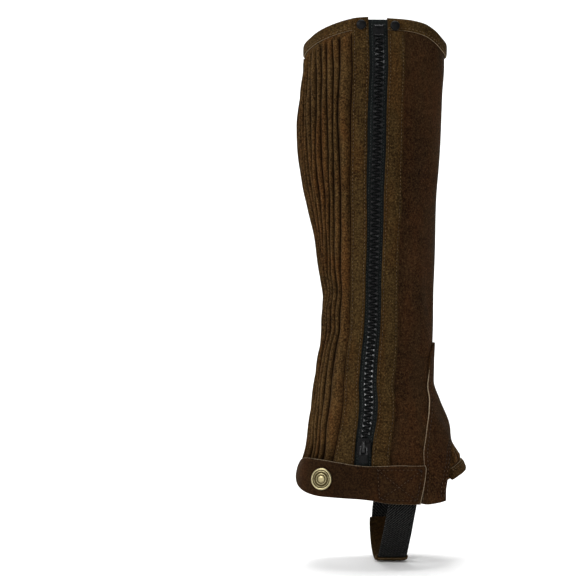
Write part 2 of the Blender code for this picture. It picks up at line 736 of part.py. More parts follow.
def make_pull(collection, plastic):
    """Pull tab on its pin, with its origin on the hinge axis."""
    rise = SLIDER_PLATE[1] + PIN_RISE
    frame = slider_frame() @ Matrix.Translation((0.0, 0.0, rise * MM))
    arm = (TAB_WIDTH - BRIDGE_WIDTH - 0.8) / 2
    side = TAB_WIDTH / 2 - arm / 2
    window = 6.4
    thick = 1.3
    tab = TAB_LENGTH - window
    reach = window + 2 * PIN_RADIUS
    parts = [
        ((TAB_WIDTH, tab, thick), (0.0, -window - tab / 2, 0.0), 0.4),
        ((arm, reach, thick), (side, PIN_RADIUS - reach / 2, 0.0), 0.0),
        ((arm, reach, thick), (-side, PIN_RADIUS - reach / 2, 0.0), 0.0),
    ]
    pieces = []
    for number, (size, centre, bevel) in enumerate(parts):
        bm = bmesh.new()
        block(bm, size, centre, bevel)
        name = "zip_pull" if number == 0 else f"pull_part_{number}"
        pieces.append(add_object(name, bm, collection, plastic))
    bm = bmesh.new()
    bmesh.ops.create_cone(bm, cap_ends=True, segments=16, radius1=PIN_RADIUS * MM,
                          radius2=PIN_RADIUS * MM, depth=(TAB_WIDTH - arm) * MM,
                          matrix=Matrix.Rotation(math.pi / 2, 4, "Y"))
    pieces.append(add_object("pull_pin", bm, collection, plastic))
    unite(pieces[0], pieces[1:])
    pieces[0].matrix_world = frame


def make_anchor(collection, suede):
    heights = between(ANCHOR(0, "height"), ANCHOR(1, "height"), 3)

    def angles(height):
        row = (height - heights[0]) / (heights[-1] - heights[0])
        return between(ANCHOR(row, "back"), ANCHOR(row, "front"), 3)

    add_object("anchor_patch", leg_wall(angles, lambda angle: heights, THIRD),
               collection, suede)


def wall_depth(x, height, offset):
    """How far out the leg's wall lies at a place along the foot."""
    back, front = LEG(height, "back"), LEG(height, "front")
    cosine = (x - (back + front) / 2) / ((front - back) / 2 + offset)
    sine = math.sqrt(1.0 - cosine * cosine)
    return (LEG(height, "depth") + offset) * sine * (1 - SHIN_TAPER * cosine)


def stirrup_point(length, across, out):
    """A point of the elastic: across runs from its back edge to its front edge."""
    def place(at, side):
        x = mix(STIRRUP(at, "back_x"), STIRRUP(at, "front_x"), side)
        height = STIRRUP(at, "height")
        spread = STIRRUP(at, "spread")
        offset = ELASTIC_OUTER if spread < 0 else ELASTIC_INNER
        y = wall_depth(x, height, offset) * spread
        return Vector((x, y, height))

    along = place(length + 0.5, across) - place(length - 0.5, across)
    wide = place(length, 1.0) - place(length, 0.0)
    normal = along.cross(wide).normalized()
    return (place(length, across) - normal * out) * MM


def make_stirrup(collection, webbing):
    lengths = between(0.0, STIRRUP.keys[-1], STIRRUP_ROWS)

    def face(out):
        return lambda column, row: stirrup_point(lengths[row], column / 2, out)

    bm = wall(2, len(lengths) - 1, face(-ELASTIC_THICK / 2), face(ELASTIC_THICK / 2))
    add_object("stirrup_elastic", bm, collection, webbing)


def make_sleeve(collection, suede):
    """A flat tube of suede round the elastic."""
    first, last = SLEEVE_ROWS
    lengths = between(0.0, STIRRUP.keys[-1], STIRRUP_ROWS)[first:last + 1]
    half_width = 0.5 + SLEEVE_CLEAR / ELASTIC_WIDTH
    half_thick = ELASTIC_THICK / 2 + SLEEVE_CLEAR
    half_turn = 6           # points on each of the tube's two flat sides

    def face(grow):
        def place(column, row):
            side, step = divmod(column % (2 * half_turn), half_turn)
            wide = half_width + grow / ELASTIC_WIDTH
            thick = half_thick + grow
            across = mix(-wide, wide, step / (half_turn - 1))
            if side:
                return stirrup_point(lengths[row], 0.5 - across, -thick)
            return stirrup_point(lengths[row], 0.5 + across, thick)
        return place

    bm = wall(2 * half_turn, len(lengths) - 1, face(0.0), face(SLEEVE_WALL), tube=True)
    add_object("stirrup_sleeve", bm, collection, suede)


def main():
    for item in list(bpy.data.objects):
        bpy.data.objects.remove(item)
    collection = bpy.data.collections.new("half chap")
    bpy.context.scene.collection.children.link(collection)
    suede = make_material("dark brown suede", (0.035, 0.021, 0.011), 0.95)
    light_suede = make_material("brown suede", (0.055, 0.034, 0.016), 0.95)
    elastic_suede = make_material("ribbed brown suede", (0.045, 0.028, 0.013), 0.95)
    tape = make_material("black zip tape", (0.012, 0.013, 0.014), 0.8)
    webbing = make_material("black elastic webbing", (0.015, 0.016, 0.016), 0.85)
    plastic = make_material("black plastic", (0.01, 0.01, 0.011), 0.3)
    brass = make_material("antique brass", (0.36, 0.31, 0.19), 0.4, 1.0)

    make_main_panel(collection, suede)
    make_ribbed_panel(collection, elastic_suede)
    make_back_strip(collection, light_suede)
    make_calf_patch(collection, light_suede)
    make_facings(collection, light_suede)
    make_tapes(collection, tape)
    make_chain(collection, plastic)
    make_binding(collection, light_suede)
    make_hems(collection, light_suede)
    make_instep_piece(collection, suede)
    make_insert(collection, elastic_suede)
    make_insert_hem(collection, light_suede)
    make_strap(collection, suede)
    make_fasteners(collection, plastic, brass)
    make_slider(collection, plastic)
    make_pull(collection, plastic)
    make_anchor(collection, suede)
    make_stirrup(collection, webbing)
    make_sleeve(collection, light_suede)


main()
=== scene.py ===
"""Looks of a suede half chap for a right leg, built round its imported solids.

+X points to the toe, -Y to the outer side of the leg and +Z up the shin.  An angle runs round
the leg in degrees: 0 is the shin, 90 the outer side, 180 the back of the calf and 270, or -90,
the inner side.  Tables and sizes are in millimetres, and the meshes are in metres.
"""
import math
import random

import bmesh
import bpy
import numpy as np
from mathutils import Matrix, Vector
from mathutils.kdtree import KDTree


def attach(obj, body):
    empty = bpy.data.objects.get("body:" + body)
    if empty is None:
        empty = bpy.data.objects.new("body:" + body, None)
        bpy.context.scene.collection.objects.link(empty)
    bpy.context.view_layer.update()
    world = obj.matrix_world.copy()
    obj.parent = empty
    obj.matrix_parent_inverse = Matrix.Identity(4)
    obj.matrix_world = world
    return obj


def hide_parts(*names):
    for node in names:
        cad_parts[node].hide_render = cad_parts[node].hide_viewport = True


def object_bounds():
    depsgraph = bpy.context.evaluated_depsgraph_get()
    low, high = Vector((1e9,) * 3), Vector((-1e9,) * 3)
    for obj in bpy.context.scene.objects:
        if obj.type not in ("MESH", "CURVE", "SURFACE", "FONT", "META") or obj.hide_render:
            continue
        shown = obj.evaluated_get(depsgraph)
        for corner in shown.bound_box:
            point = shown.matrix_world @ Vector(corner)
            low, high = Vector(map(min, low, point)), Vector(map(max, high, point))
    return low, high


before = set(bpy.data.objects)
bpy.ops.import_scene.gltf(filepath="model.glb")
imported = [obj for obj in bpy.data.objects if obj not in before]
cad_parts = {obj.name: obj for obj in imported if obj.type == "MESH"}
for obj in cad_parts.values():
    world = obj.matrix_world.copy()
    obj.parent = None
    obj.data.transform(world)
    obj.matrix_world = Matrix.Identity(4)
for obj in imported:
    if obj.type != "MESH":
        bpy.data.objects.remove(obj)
cad_low, cad_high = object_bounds()

MM = 0.001

# Driving dimensions
WALL = 1.8              # thickness of the suede
GAP = 0.5               # clearance between two layers of suede
SEAM = 0.5              # clearance between two edges that meet
SHIN_TAPER = 0.07       # how much narrower the leg's section is at the shin than at the calf
RIBS = 14               # ribs of the elastic calf panel
RIB_HEIGHT = 1.9
INSERT_RIBS = 9
INSERT_RIB_HEIGHT = 1.3
ELASTIC_WIDTH = 25.0
ELASTIC_THICK = 1.5
TUCK = 7.0              # how far a panel's edge lies under the zip's facing, in degrees
TAPE_TUCK = 6.3         # and how far the zip's tape does
TAPE_TOP = 90.3
TAPE_DROP = 1.7
TAPE_FOOT = -318.0
TAPE = (0.3, 1.3)       # inner and outer face of the zip's tape, out from the leg's surface
TAPE_SEWING = 5.6       # and its row of stitches, out from the centre line
CHAIN = (1.6, 3.8)
CHAIN_TOP = 75.6
CHAIN_FOOT = -270.0
BOX_TOP = 85.4
BOX_WIDTH = 9.2
BOX_RISE = 0.6
TOOTH_PITCH = 4.5
STUD_DIAMETER = 8.4
STUD_PLACES = (("stud_back", 103.2, 85.4), ("stud_front", 77.0, 84.6))
SNAP_DIAMETER = 19.0
SNAP_PLACE = (136.0, -306.0)
CAP_SEAT = 0.3
SLIDER_HEIGHT = -277.0
PIN_RISE = 6.7          # hinge axis of the pull tab, out from the leg's surface

# Faces of each layer of suede, out from the leg's surface
BASE = (0.0, WALL)
SECOND = (WALL + GAP, 2 * WALL + GAP)
THIRD = (2 * (WALL + GAP), 3 * WALL + 2 * GAP)
LINING_SIDE = (-WALL - GAP, -GAP)


class Table:
    """Rows of named columns, read by the first column with a smooth curve through the rows."""

    def __init__(self, columns, rows):
        rows = np.array(sorted(rows), float)
        self.keys = rows[:, 0]
        self.columns = {name: rows[:, k] for k, name in enumerate(columns.split())}

    def __call__(self, key, name):
        keys, values = self.keys, self.columns[name]
        width, rise = np.diff(keys), np.diff(values)
        slope = rise / width
        before, after = slope[:-1], slope[1:]
        even = before * after > 0
        inner = np.where(even, 2 * before * after / np.where(even, before + after, 1.0), 0.0)
        tangent = np.concatenate([slope[:1], inner, slope[-1:]])
        key = np.clip(key, keys[0], keys[-1])
        i = np.clip(np.searchsorted(keys, key, side="right") - 1, 0, len(keys) - 2)
        t = (key - keys[i]) / width[i]
        start, end, step = tangent[i] * width[i], tangent[i + 1] * width[i], rise[i]
        bend = 3 * step - 2 * start - end
        return values[i] + t * (start + t * (bend + t * (start + end - 2 * step)))


# Sections of the leg's surface: its back, its front and half its depth at each height
LEG = Table("height back front depth", [
    (110, -60.5, 58.5, 52.0), (80, -60.5, 58.6, 52.5), (55, -61.6, 58.6, 53.0),
    (30, -64.2, 56.8, 54.0), (0, -66.9, 55.1, 54.0), (-30, -64.7, 53.6, 52.5),
    (-62, -58.9, 51.6, 49.0), (-95, -50.9, 50.6, 45.0), (-125, -46.5, 49.7, 41.5),
    (-150, -43.8, 48.9, 39.5), (-175, -45.1, 48.6, 38.8), (-200, -48.7, 47.7, 39.0),
    (-222, -51.4, 47.0, 40.0), (-240, -53.6, 52.4, 41.2), (-260, -56.2, 60.8, 42.5),
    (-280, -58.6, 66.4, 44.0), (-296, -62.5, 75.2, 45.0), (-310, -65.0, 80.0, 46.0),
    (-330, -65.5, 84.0, 46.5)])

# Upper edge round the leg, and the height of the binding that is folded over it
TOP = Table("angle edge band", [
    (-180, 76.0, 12.0), (-135, 81.0, 12.5), (-90, 84.0, 13.0), (-45, 81.0, 12.5),
    (-20, 77.5, 12.5), (0, 76.2, 12.5), (20, 79.6, 12.5), (34, 84.9, 12.0), (49, 89.4, 11.1),
    (66, 91.3, 10.5), (82, 91.8, 10.5), (98, 92.6, 11.0), (106, 92.3, 10.9), (127, 88.2, 10.6),
    (143, 84.0, 10.6), (160, 79.4, 10.5), (180, 76.0, 12.0)])

# Lower edge round the leg, and the height of the hem that is turned over it
BOTTOM = Table("angle edge band", [
    (-180, -311.5, 13.0), (-157, -311.0, 13.5), (-124, -308.5, 15.5), (-111, -308.0, 14.5),
    (-93, -314.8, 15.5), (-72, -320.0, 14.0), (-45, -323.0, 10.5), (45, -324.5, 10.5),
    (55, -326.6, 11.5), (64, -327.6, 12.0), (72, -325.6, 12.0), (88, -323.5, 12.0),
    (101, -321.5, 12.0), (119, -320.0, 12.0), (133, -317.5, 12.0), (150, -314.0, 12.0),
    (165, -312.0, 12.5), (180, -311.5, 13.0)])
HEM_END = -93.6         # where the lower hem stops, beside the stirrup elastic
RAW_START = 5.6         # degrees from there to where the panel's edge drops to its raw height
RAW_SLOPE = 4.0         # and degrees in which it drops by a millimetre
RAW_END = 110.0         # where the raw edge stops again, under the strap
HEM_INSTEP_BACK = -70.0
HEM_INSTEP_BAND = 11.0
EDGE_SETBACK = 0.4      # how far an upper layer ends from the one under it

# Angles of the zip's edges: facing, tape, centre line, tape and facing
ZIP = Table("height facing_back tape_back centre tape_front facing_front", [
    (95, 110.5, 97.8, 90.0, 82.4, 68.6), (80, 110.5, 97.4, 89.5, 82.2, 68.5),
    (30, 107.6, 95.0, 87.2, 80.2, 66.4), (-7, 106.4, 93.9, 85.9, 78.9, 65.0),
    (-64, 111.0, 97.2, 89.6, 82.2, 66.6), (-104, 117.0, 102.0, 94.6, 86.8, 71.0),
    (-150, 122.0, 106.4, 98.4, 90.2, 73.0), (-196, 121.7, 106.8, 97.9, 89.9, 71.4),
    (-232, 121.0, 106.5, 97.4, 89.2, 73.0), (-272, 127.0, 111.4, 104.2, 97.2, 83.0),
    (-292, 130.0, 112.8, 106.2, 100.0, 86.6), (-330, 133.0, 114.5, 108.2, 102.0, 88.6)])

# Half the clearance between the tapes, which the slider spreads at its lower end
TAPE_SPREAD = Table("height half", [
    (-330, 0.05), (-288, 0.05), (-284.5, 1.9), (-281, 2.8), (-262, 0.25), (90, 0.25)])

# Curved front edge of the strip over the join at the calf's inner side
STRIP = Table("height front_edge", [
    (67, -129.5), (47, -132.4), (34, -134.1), (12, -133.7), (-9, -133.1), (-25, -131.6),
    (-41, -129.9), (-62, -127.4), (-89, -123.6), (-105, -120.0), (-120, -117.0),
    (-133, -114.4), (-149, -112.3), (-165, -111.2), (-187, -111.4), (-206, -112.9),
    (-223, -115.2), (-243, -119.5), (-252, -121.7), (-274, -124.6), (-292, -125.0)])
STRIP_BACK = -172.0
JOIN = -164.0           # where the ribbed panel meets the main panel, under the strip

# Outline of the calf patch
PATCH = Table("height front back", [
    (42.2, -62, -77), (41.2, -53, -83), (38.8, -44, -89), (35, -36, -94.5), (30, -26.5, -102.5),
    (23.5, -18, -109), (14.5, -13.5, -113.7), (3, -12, -115.7), (-10, -12, -113.5),
    (-36, -12, -110.1), (-75, -12, -107.7), (-98, -12, -106.6), (-129, -12, -106.0),
    (-148, -12.5, -105.0), (-158, -13, -102.6), (-167, -14.5, -99.3), (-175, -18, -95.6),
    (-182, -22.5, -90.5), (-187.5, -28, -85), (-191.5, -34, -79), (-194.3, -41, -72.5),
    (-196, -49, -65)])

# Outline of the instep piece on each side, from its rounded tip over the shin
INSTEP = Table("height outer inner", [
    (-188, 7, 7), (-190, 12, 13), (-194, 17.5, 20.5), (-200, 22, 30), (-208, 24.5, 38),
    (-220, 25, 44), (-233, 29.5, 50), (-247, 39.5, 55), (-259, 47.5, 58.5),
    (-275, 54.7, 62.5), (-294, 61.5, 65.5), (-312, 65.2, 68), (-328, 68, 69)])
INSTEP_TOP = -188.0
INSTEP_OVERLAP = 9.0    # how far it lies over the main panel, in degrees
CUTOUT_TOP = -199.0     # top of the main panel's cutout, under the instep piece
CUTOUT_TIP = 1.0
CUTOUT_GROWTH = 24.0

# Crests of the calf panel's first ribs, as shares of the way from the facing to the strip
CRESTS = Table("height c0 c1 c2 c3 c4 c5 c6", [
    (90, .11, .215, .28, .37, .46, .55, .63), (60, .102, .211, .276, .362, .455, .55, .63),
    (24, .10, .178, .257, .325, .406, .50, .585), (-3, .092, .158, .222, .292, .365, .455, .54),
    (-58, .08, .163, .24, .314, .385, .464, .54), (-86, .105, .202, .30, .382, .46, .54, .62),
    (-114, .14, .25, .35, .45, .545, .63, .70), (-141, .155, .271, .375, .48, .585, .67, .74),
    (-170, .155, .275, .40, .505, .625, .71, .78), (-198, .162, .302, .434, .55, .66, .745, .81),
    (-226, .175, .33, .465, .575, .68, .76, .82), (-253, .19, .33, .455, .555, .655, .745, .815),
    (-281, .15, .26, .37, .475, .585, .68, .77), (-310, .13, .24, .35, .46, .57, .67, .76)])

# Half angle of the notch in the instep piece
NOTCH = Table("height half", [
    (-262, 1.2), (-266, 3), (-274, 14), (-286, 28), (-297, 38.5), (-308, 44.5),
    (-316, 47.5), (-328, 49.5)])
NOTCH_TOP = -262.0
INSERT_OVERLAP = 4.0
INSERT_HEM = 9.5
INSERT_EDGE = -301.5    # lower edge of the gusset at the toe
INSERT_DROP = 9.0
INSERT_HALF = 37.0

# Edges of the closing strap, by angle
STRAP = Table("angle upper lower", [
    (61.5, -294.3, -326.6), (70, -294.0, -326.8), (81, -293.2, -326.2), (90, -293.4, -325.6),
    (101, -293.7, -323.0), (111, -293.0, -321.8), (125, -291.0, -321.2), (138, -289.8, -320.6),
    (148, -289.6, -318.8), (157, -290.2, -316.0), (164, -291.4, -313.4), (169.5, -293.6, -310.6),
    (173.3, -296.8, -307.4), (175, -300.2, -304.4)])
STRAP_ENDS = (61.5, 175.0)
STRAP_SLANT = 8.0       # how much further back its sewn end is cut at the foot
STRAP_LEVEL = -297.0
SNAP_TURN = 10.0        # how far the snap is turned towards the zip, in degrees
STRAP_LIFT = 2.8        # how far the strap stands off the leg behind the snap

# Route of the stirrup elastic from the outer to the inner side.  Its spread is the share of the
# way out from the foot's middle, 0, to the outer wall, -1, or to the inner one, 1.
STIRRUP = Table("length height back_x front_x spread", [
    (0, -300.0, 12.2, 36.8, -1.0), (14, -314.0, 10.8, 35.5, -1.0), (27, -326.5, 9.0, 33.4, -1.0),
    (40, -339.5, 6.6, 31.2, -0.92), (57, -353.4, 4.6, 29.4, -0.72), (75, -366.8, 2.7, 27.6, -0.46),
    (88, -375.5, 1.4, 26.4, -0.25), (100, -379.2, 0.4, 25.4, 0.0), (111, -376.1, -0.8, 24.2, 0.21),
    (125, -367.4, -2.0, 23.0, 0.43), (140, -355.8, -2.4, 22.6, 0.64),
    (159, -339.3, -1.2, 23.8, 0.85), (173, -326.5, 2.0, 26.8, 0.97),
    (183, -317.0, 5.0, 29.4, 1.0), (200, -300.0, 7.6, 32.3, 1.0), (215, -285.0, 8.2, 32.8, 1.0)])
STIRRUP_LENGTH = 215.0
ELASTIC_OUTER = -WALL / 2 - 0.35
ELASTIC_INNER = SECOND[0] + ELASTIC_THICK / 2 + 0.05
SLEEVE_SPAN = (91.0, 148.8)
SLEEVE_WALL = 1.4
SLEEVE_CLEAR = 0.4

# Corners of the square that holds the elastic, as angles and heights
ANCHOR = Table("height back front", [(-305.0, -91.0, -68.0), (-271.5, -88.5, -62.0)])
ANCHOR_TOP, ANCHOR_FOOT = -271.5, -305.0

DEGREE_MM = 0.85        # millimetres in one degree round the leg, about
CREASE_STRENGTH = 1.4

# Shallow waves all over the suede
WAVES = [
    # size, waves round the leg, length up the leg, start
    (0.28, 3, 41.0, 0.7), (0.22, 5, -27.0, 0.0), (0.16, 8, 19.0, 2.1), (0.12, 13, -13.0, 0.0)]

# Soft troughs, with a negative depth, and ridges: place, direction from the horizontal in
# degrees, half length and half width, depth, and how far the ends curve away
CREASES = [
    # angle height turn length width depth bend
    (48, -196, 24, 26, 6.5, -0.9, 4), (44, -208, 16, 22, 5.5, 0.6, 3),
    (52, -222, 10, 24, 6.5, -0.8, -3), (66, -176, 35, 20, 7.0, -0.7, 3),
    (60, -248, 60, 30, 7.0, -0.8, 2), (28, -150, 78, 34, 9.0, -0.7, 3),
    (40, -60, 84, 60, 11.0, -0.6, 4), (20, 20, 88, 50, 12.0, 0.6, 3),
    (52, 50, 80, 32, 9.0, -0.6, -3), (0, -110, 90, 44, 12.0, 0.5, 0),
    (-46, -200, -20, 26, 6.5, -0.9, -4), (-50, -214, -12, 22, 5.5, 0.6, -3),
    (-58, -230, -8, 26, 7.0, -0.8, 2), (-90, -210, -34, 24, 8.0, -0.9, -3),
    (-96, -238, 62, 28, 8.0, -0.8, 3), (-30, -245, 72, 26, 7.0, -1.3, 4),
    (-128, -60, 84, 60, 10.0, -0.7, 4), (-100, -130, 80, 40, 12.0, 0.6, -3),
    (-30, 0, 86, 52, 14.0, -0.7, 4), (-75, -40, 74, 36, 16.0, 0.6, 4),
    (-150, -150, 8, 26, 8.0, -1.0, 3), (-148, -168, -6, 24, 7.0, 0.8, -2),
    (-154, -190, 10, 26, 8.0, -0.8, 3), (150, -140, -8, 26, 8.0, -0.9, 2),
    (148, -160, 6, 24, 7.0, 0.8, 3), (144, -178, -10, 22, 7.0, -0.7, -2),
    (-150, 60, 20, 24, 9.0, -0.6, 3), (15, -262, 50, 22, 7.0, -0.8, 3)]

# Places where the surface stays as it is, because something hard or tight lies on it
STILL = [
    # angle height radius
    (104, -277, 26), (136, -306, 18), (103.2, 85.4, 12), (77, 84.6, 12), (68, -314, 26),
    (-78, -298, 34), (90, 84, 14)]


def lap(angle):
    """The same angle between -180 and 180 degrees."""
    return (angle + 180.0) % 360.0 - 180.0


def surface(angle, height):
    """Points of the leg's surface."""
    back, front = LEG(height, "back"), LEG(height, "front")
    cosine, sine = np.cos(np.radians(angle)), np.sin(np.radians(angle))
    x = (back + front) / 2 + (front - back) / 2 * cosine
    y = -LEG(height, "depth") * sine * (1 - SHIN_TAPER * cosine)
    return np.stack(np.broadcast_arrays(x, y, height), axis=-1).astype(float)


def unit(vectors):
    return vectors / np.linalg.norm(vectors, axis=-1, keepdims=True)


def outward(angle, height):
    """The directions straight out of the leg's surface."""
    angle, height = np.asarray(angle, float), np.asarray(height, float)
    round_leg = surface(angle + 0.5, height) - surface(angle - 0.5, height)
    up_leg = surface(angle, height + 1.0) - surface(angle, height - 1.0)
    return unit(np.cross(up_leg, round_leg))


def degree(angle, height):
    """Millimetres in one degree round the leg."""
    return np.linalg.norm(surface(angle + 0.5, height) - surface(angle - 0.5, height), axis=-1)


def crease(angle, height):
    """How far the worn suede stands out of the plain leg's surface."""
    angle, height = np.broadcast_arrays(np.asarray(angle, float), np.asarray(height, float))
    around = np.radians(angle)
    total = sum(size * np.sin(waves * around + height / length + start)
                for size, waves, length, start in WAVES)
    for centre, level, turn, length, width, depth, bend in CREASES:
        x, y = lap(angle - centre) * DEGREE_MM, height - level
        cosine, sine = math.cos(math.radians(turn)), math.sin(math.radians(turn))
        along, across = x * cosine + y * sine, y * cosine - x * sine
        across = across - bend * (along / length) ** 2
        shape = np.exp(-(along / length) ** 2 - (across / width) ** 2)
        total = total + CREASE_STRENGTH * depth * shape
    for centre, level, radius in STILL:
        x, y = lap(angle - centre) * DEGREE_MM, height - level
        total = total * (1 - np.exp(-((x * x + y * y) / radius ** 2) ** 2))
    return total


def leg(angle, height, offset):
    """Points in metres, some millimetres out from the leg."""
    angle, height, offset = np.broadcast_arrays(
        np.asarray(angle, float), np.asarray(height, float), np.asarray(offset, float))
    out = (offset + crease(angle, height))[..., None]
    return (surface(angle, height) + outward(angle, height) * out) * MM


def leg_frame(angle, height, offset):
    """A frame on the leg: X towards the toe round the leg, Y up the leg and Z straight out."""
    out = Vector(outward(angle, height))
    up = Vector((0.0, 0.0, 1.0))
    up = (up - out * up.dot(out)).normalized()
    matrix = Matrix((up.cross(out), up, out)).transposed().to_4x4()
    matrix.translation = (Vector(surface(angle, height)) + out * offset) * MM
    return matrix


def shifted(angle, height, across):
    """The angle some millimetres further round, towards the back where the number is positive."""
    return angle + across / degree(angle, height)


def upper_edge(angle):
    return TOP(lap(angle), "edge") - WALL - GAP


def below_binding(angle):
    return TOP(lap(angle), "edge") - TOP(lap(angle), "band") - SEAM


def lower_edge(angle):
    """Bottom of a panel: over the turned hem, or at the raw edge under the strap."""
    past_hem = np.maximum(lap(angle) - HEM_END - RAW_START, 0.0)
    raw = np.maximum(EDGE_SETBACK, WALL + GAP - past_hem / RAW_SLOPE)
    setback = np.where((past_hem > 0.0) & (lap(angle) < RAW_END), raw, WALL + GAP)
    return BOTTOM(lap(angle), "edge") + setback


def above_hem(angle):
    return BOTTOM(lap(angle), "edge") + BOTTOM(lap(angle), "band") + SEAM


# Shaders

class Tree:
    """Adds nodes to a node tree: each input is a number, a colour or another node's socket."""

    def __init__(self, tree):
        self.tree = tree

    def add(self, kind, inputs=(), **settings):
        node = self.tree.nodes.new(kind)
        for name, value in settings.items():
            setattr(node, name, value)
        for name, value in dict(inputs).items():
            socket = node.inputs[name]
            if isinstance(value, bpy.types.NodeSocket):
                self.tree.links.new(value, socket)
            else:
                socket.default_value = value
        return node

    def math(self, operation, a, b=0.0, c=0.0, clamp=False):
        node = self.add("ShaderNodeMath", {0: a, 1: b, 2: c}, operation=operation, use_clamp=clamp)
        return node.outputs[0]

    def blend(self, factor, a, b):
        node = self.add("ShaderNodeMix", data_type="RGBA")
        for index, value in ((0, factor), (6, a), (7, b)):
            if isinstance(value, bpy.types.NodeSocket):
                self.tree.links.new(value, node.inputs[index])
            else:
                node.inputs[index].default_value = value
        return node.outputs[2]

    def noise(self, place, scale, detail=2.0, rough=0.55, stretch=None):
        if stretch:
            place = self.add("ShaderNodeMapping", {"Vector": place, "Scale": stretch}).outputs[0]
        node = self.add("ShaderNodeTexNoise", {
            "Vector": place, "Scale": scale, "Detail": detail, "Roughness": rough})
        return node.outputs["Fac"]

    def range(self, value, low, high, to_low=0.0, to_high=1.0):
        node = self.add("ShaderNodeMapRange", {
            "Value": value, "From Min": low, "From Max": high, "To Min": to_low, "To Max": to_high})
        return node.outputs[0]


def group(name, inputs, outputs):
    """A shader node group with named sockets, and its tree, input node and output node."""
    made = bpy.data.node_groups.new(name, "ShaderNodeTree")
    for label, kind, value in inputs:
        socket = made.interface.new_socket(label, in_out="INPUT", socket_type=kind)
        if value is not None:
            socket.default_value = value
    for label, kind in outputs:
        made.interface.new_socket(label, in_out="OUTPUT", socket_type=kind)
    tree = Tree(made)
    return made, tree, tree.add("NodeGroupInput").outputs, tree.add("NodeGroupOutput").inputs


def nap_group():
    """The brushed nap of suede: specks, mottling, rubbed patches and pale cut edges."""
    made, tree, given, result = group(
        "Suede nap",
        [("Place", "NodeSocketVector", None), ("Dark", "NodeSocketColor", None),
         ("Light", "NodeSocketColor", None), ("Warm", "NodeSocketColor", None),
         ("Fleck", "NodeSocketColor", None),
         ("Cut", "NodeSocketFloat", 0.0), ("Cut colour", "NodeSocketColor", None),
         ("Shade", "NodeSocketFloat", 0.0),
         ("Rubbed", "NodeSocketFloat", 0.5)],
        [("Colour", "NodeSocketColor"), ("Relief", "NodeSocketFloat")])
    place = given["Place"]
    speck = tree.noise(place, 640.0, 4.0, 0.75)
    fibre = tree.noise(place, 1700.0, 2.0, 0.6, stretch=(1.0, 1.0, 0.5))
    mottle = tree.noise(place, 130.0, 5.0, 0.65)
    patch = tree.noise(place, 24.0, 3.0, 0.5, stretch=(1.0, 1.0, 0.55))
    warm = tree.noise(place, 52.0, 4.0, 0.6, stretch=(1.0, 1.0, 0.35))
    tone = tree.math("MULTIPLY_ADD", tree.range(speck, 0.405, 0.595), 0.72, -0.06)
    tone = tree.math("MULTIPLY_ADD", tree.range(mottle, 0.32, 0.68), 0.24, tone)
    rub = tree.math("MULTIPLY", tree.range(patch, 0.35, 0.68), given["Rubbed"])
    tone = tree.math("ADD", tone, rub, clamp=True)
    lit = tree.blend(tree.range(warm, 0.45, 0.63), given["Light"], given["Warm"])
    tone = tree.math("MULTIPLY", tone, tree.range(given["Shade"], 0.0, 1.0, 1.0, 0.06))
    colour = tree.blend(tone, given["Dark"], lit)
    fleck = tree.math("MULTIPLY", tree.range(fibre, 0.53, 0.7), tree.range(speck, 0.5, 0.62))
    fleck = tree.math("MULTIPLY", fleck, tree.range(given["Shade"], 0.0, 0.7, 0.85, 0.0))
    colour = tree.blend(fleck, colour, given["Fleck"])
    frayed = tree.math("MULTIPLY_ADD", tree.noise(place, 900.0, 2.0), 0.7, given["Cut"])
    cut = tree.math("MULTIPLY", tree.range(frayed, 0.6, 1.25), 0.9)
    colour = tree.blend(cut, colour, given["Cut colour"])
    relief = tree.math("MULTIPLY_ADD", speck, 0.6, tree.math("MULTIPLY", fibre, 0.5))
    relief = tree.math("MULTIPLY_ADD", mottle, 0.5, relief)
    tree.tree.links.new(colour, result["Colour"])
    tree.tree.links.new(relief, result["Relief"])
    return made


def weave_group():
    """Woven threads on a piece's own map, in steps of one thread, and slanted by its twill."""
    made, tree, given, result = group(
        "Weave",
        [("Place", "NodeSocketVector", None), ("Threads across", "NodeSocketFloat", 1000.0),
         ("Threads along", "NodeSocketFloat", 1000.0), ("Twill", "NodeSocketFloat", 0.0)],
        [("Thread", "NodeSocketFloat"), ("Shade", "NodeSocketFloat")])
    split = tree.add("ShaderNodeSeparateXYZ", {"Vector": given["Place"]}).outputs
    across = tree.math("MULTIPLY", split["X"], given["Threads across"])
    along = tree.math("MULTIPLY", split["Y"], given["Threads along"])
    slanted = tree.math("MULTIPLY_ADD", across, given["Twill"], along)
    wave = tree.math("SINE", tree.math("MULTIPLY", slanted, math.tau))
    rib = tree.math("SINE", tree.math("MULTIPLY", across, math.tau))
    both = tree.math("MULTIPLY_ADD", wave, 0.35, tree.math("MULTIPLY_ADD", rib, 0.15, 0.5))
    uneven = tree.noise(given["Place"], 420.0, 2.0)
    tree.tree.links.new(both, result["Thread"])
    tree.tree.links.new(tree.math("MULTIPLY", both, uneven), result["Shade"])
    return made


def new_material(name, roughness, metallic=0.0, specular=0.5):
    material = bpy.data.materials.new(name)
    material.use_nodes = True
    shader = material.node_tree.nodes["Principled BSDF"]
    shader.inputs["Roughness"].default_value = roughness
    shader.inputs["Metallic"].default_value = metallic
    shader.inputs["Specular IOR Level"].default_value = specular
    return material, Tree(material.node_tree), shader


def bump(tree, shader, height, distance, strength=1.0):
    node = tree.add("ShaderNodeBump", {
        "Height": height, "Distance": distance, "Strength": strength})
    tree.tree.links.new(node.outputs["Normal"], shader.inputs["Normal"])


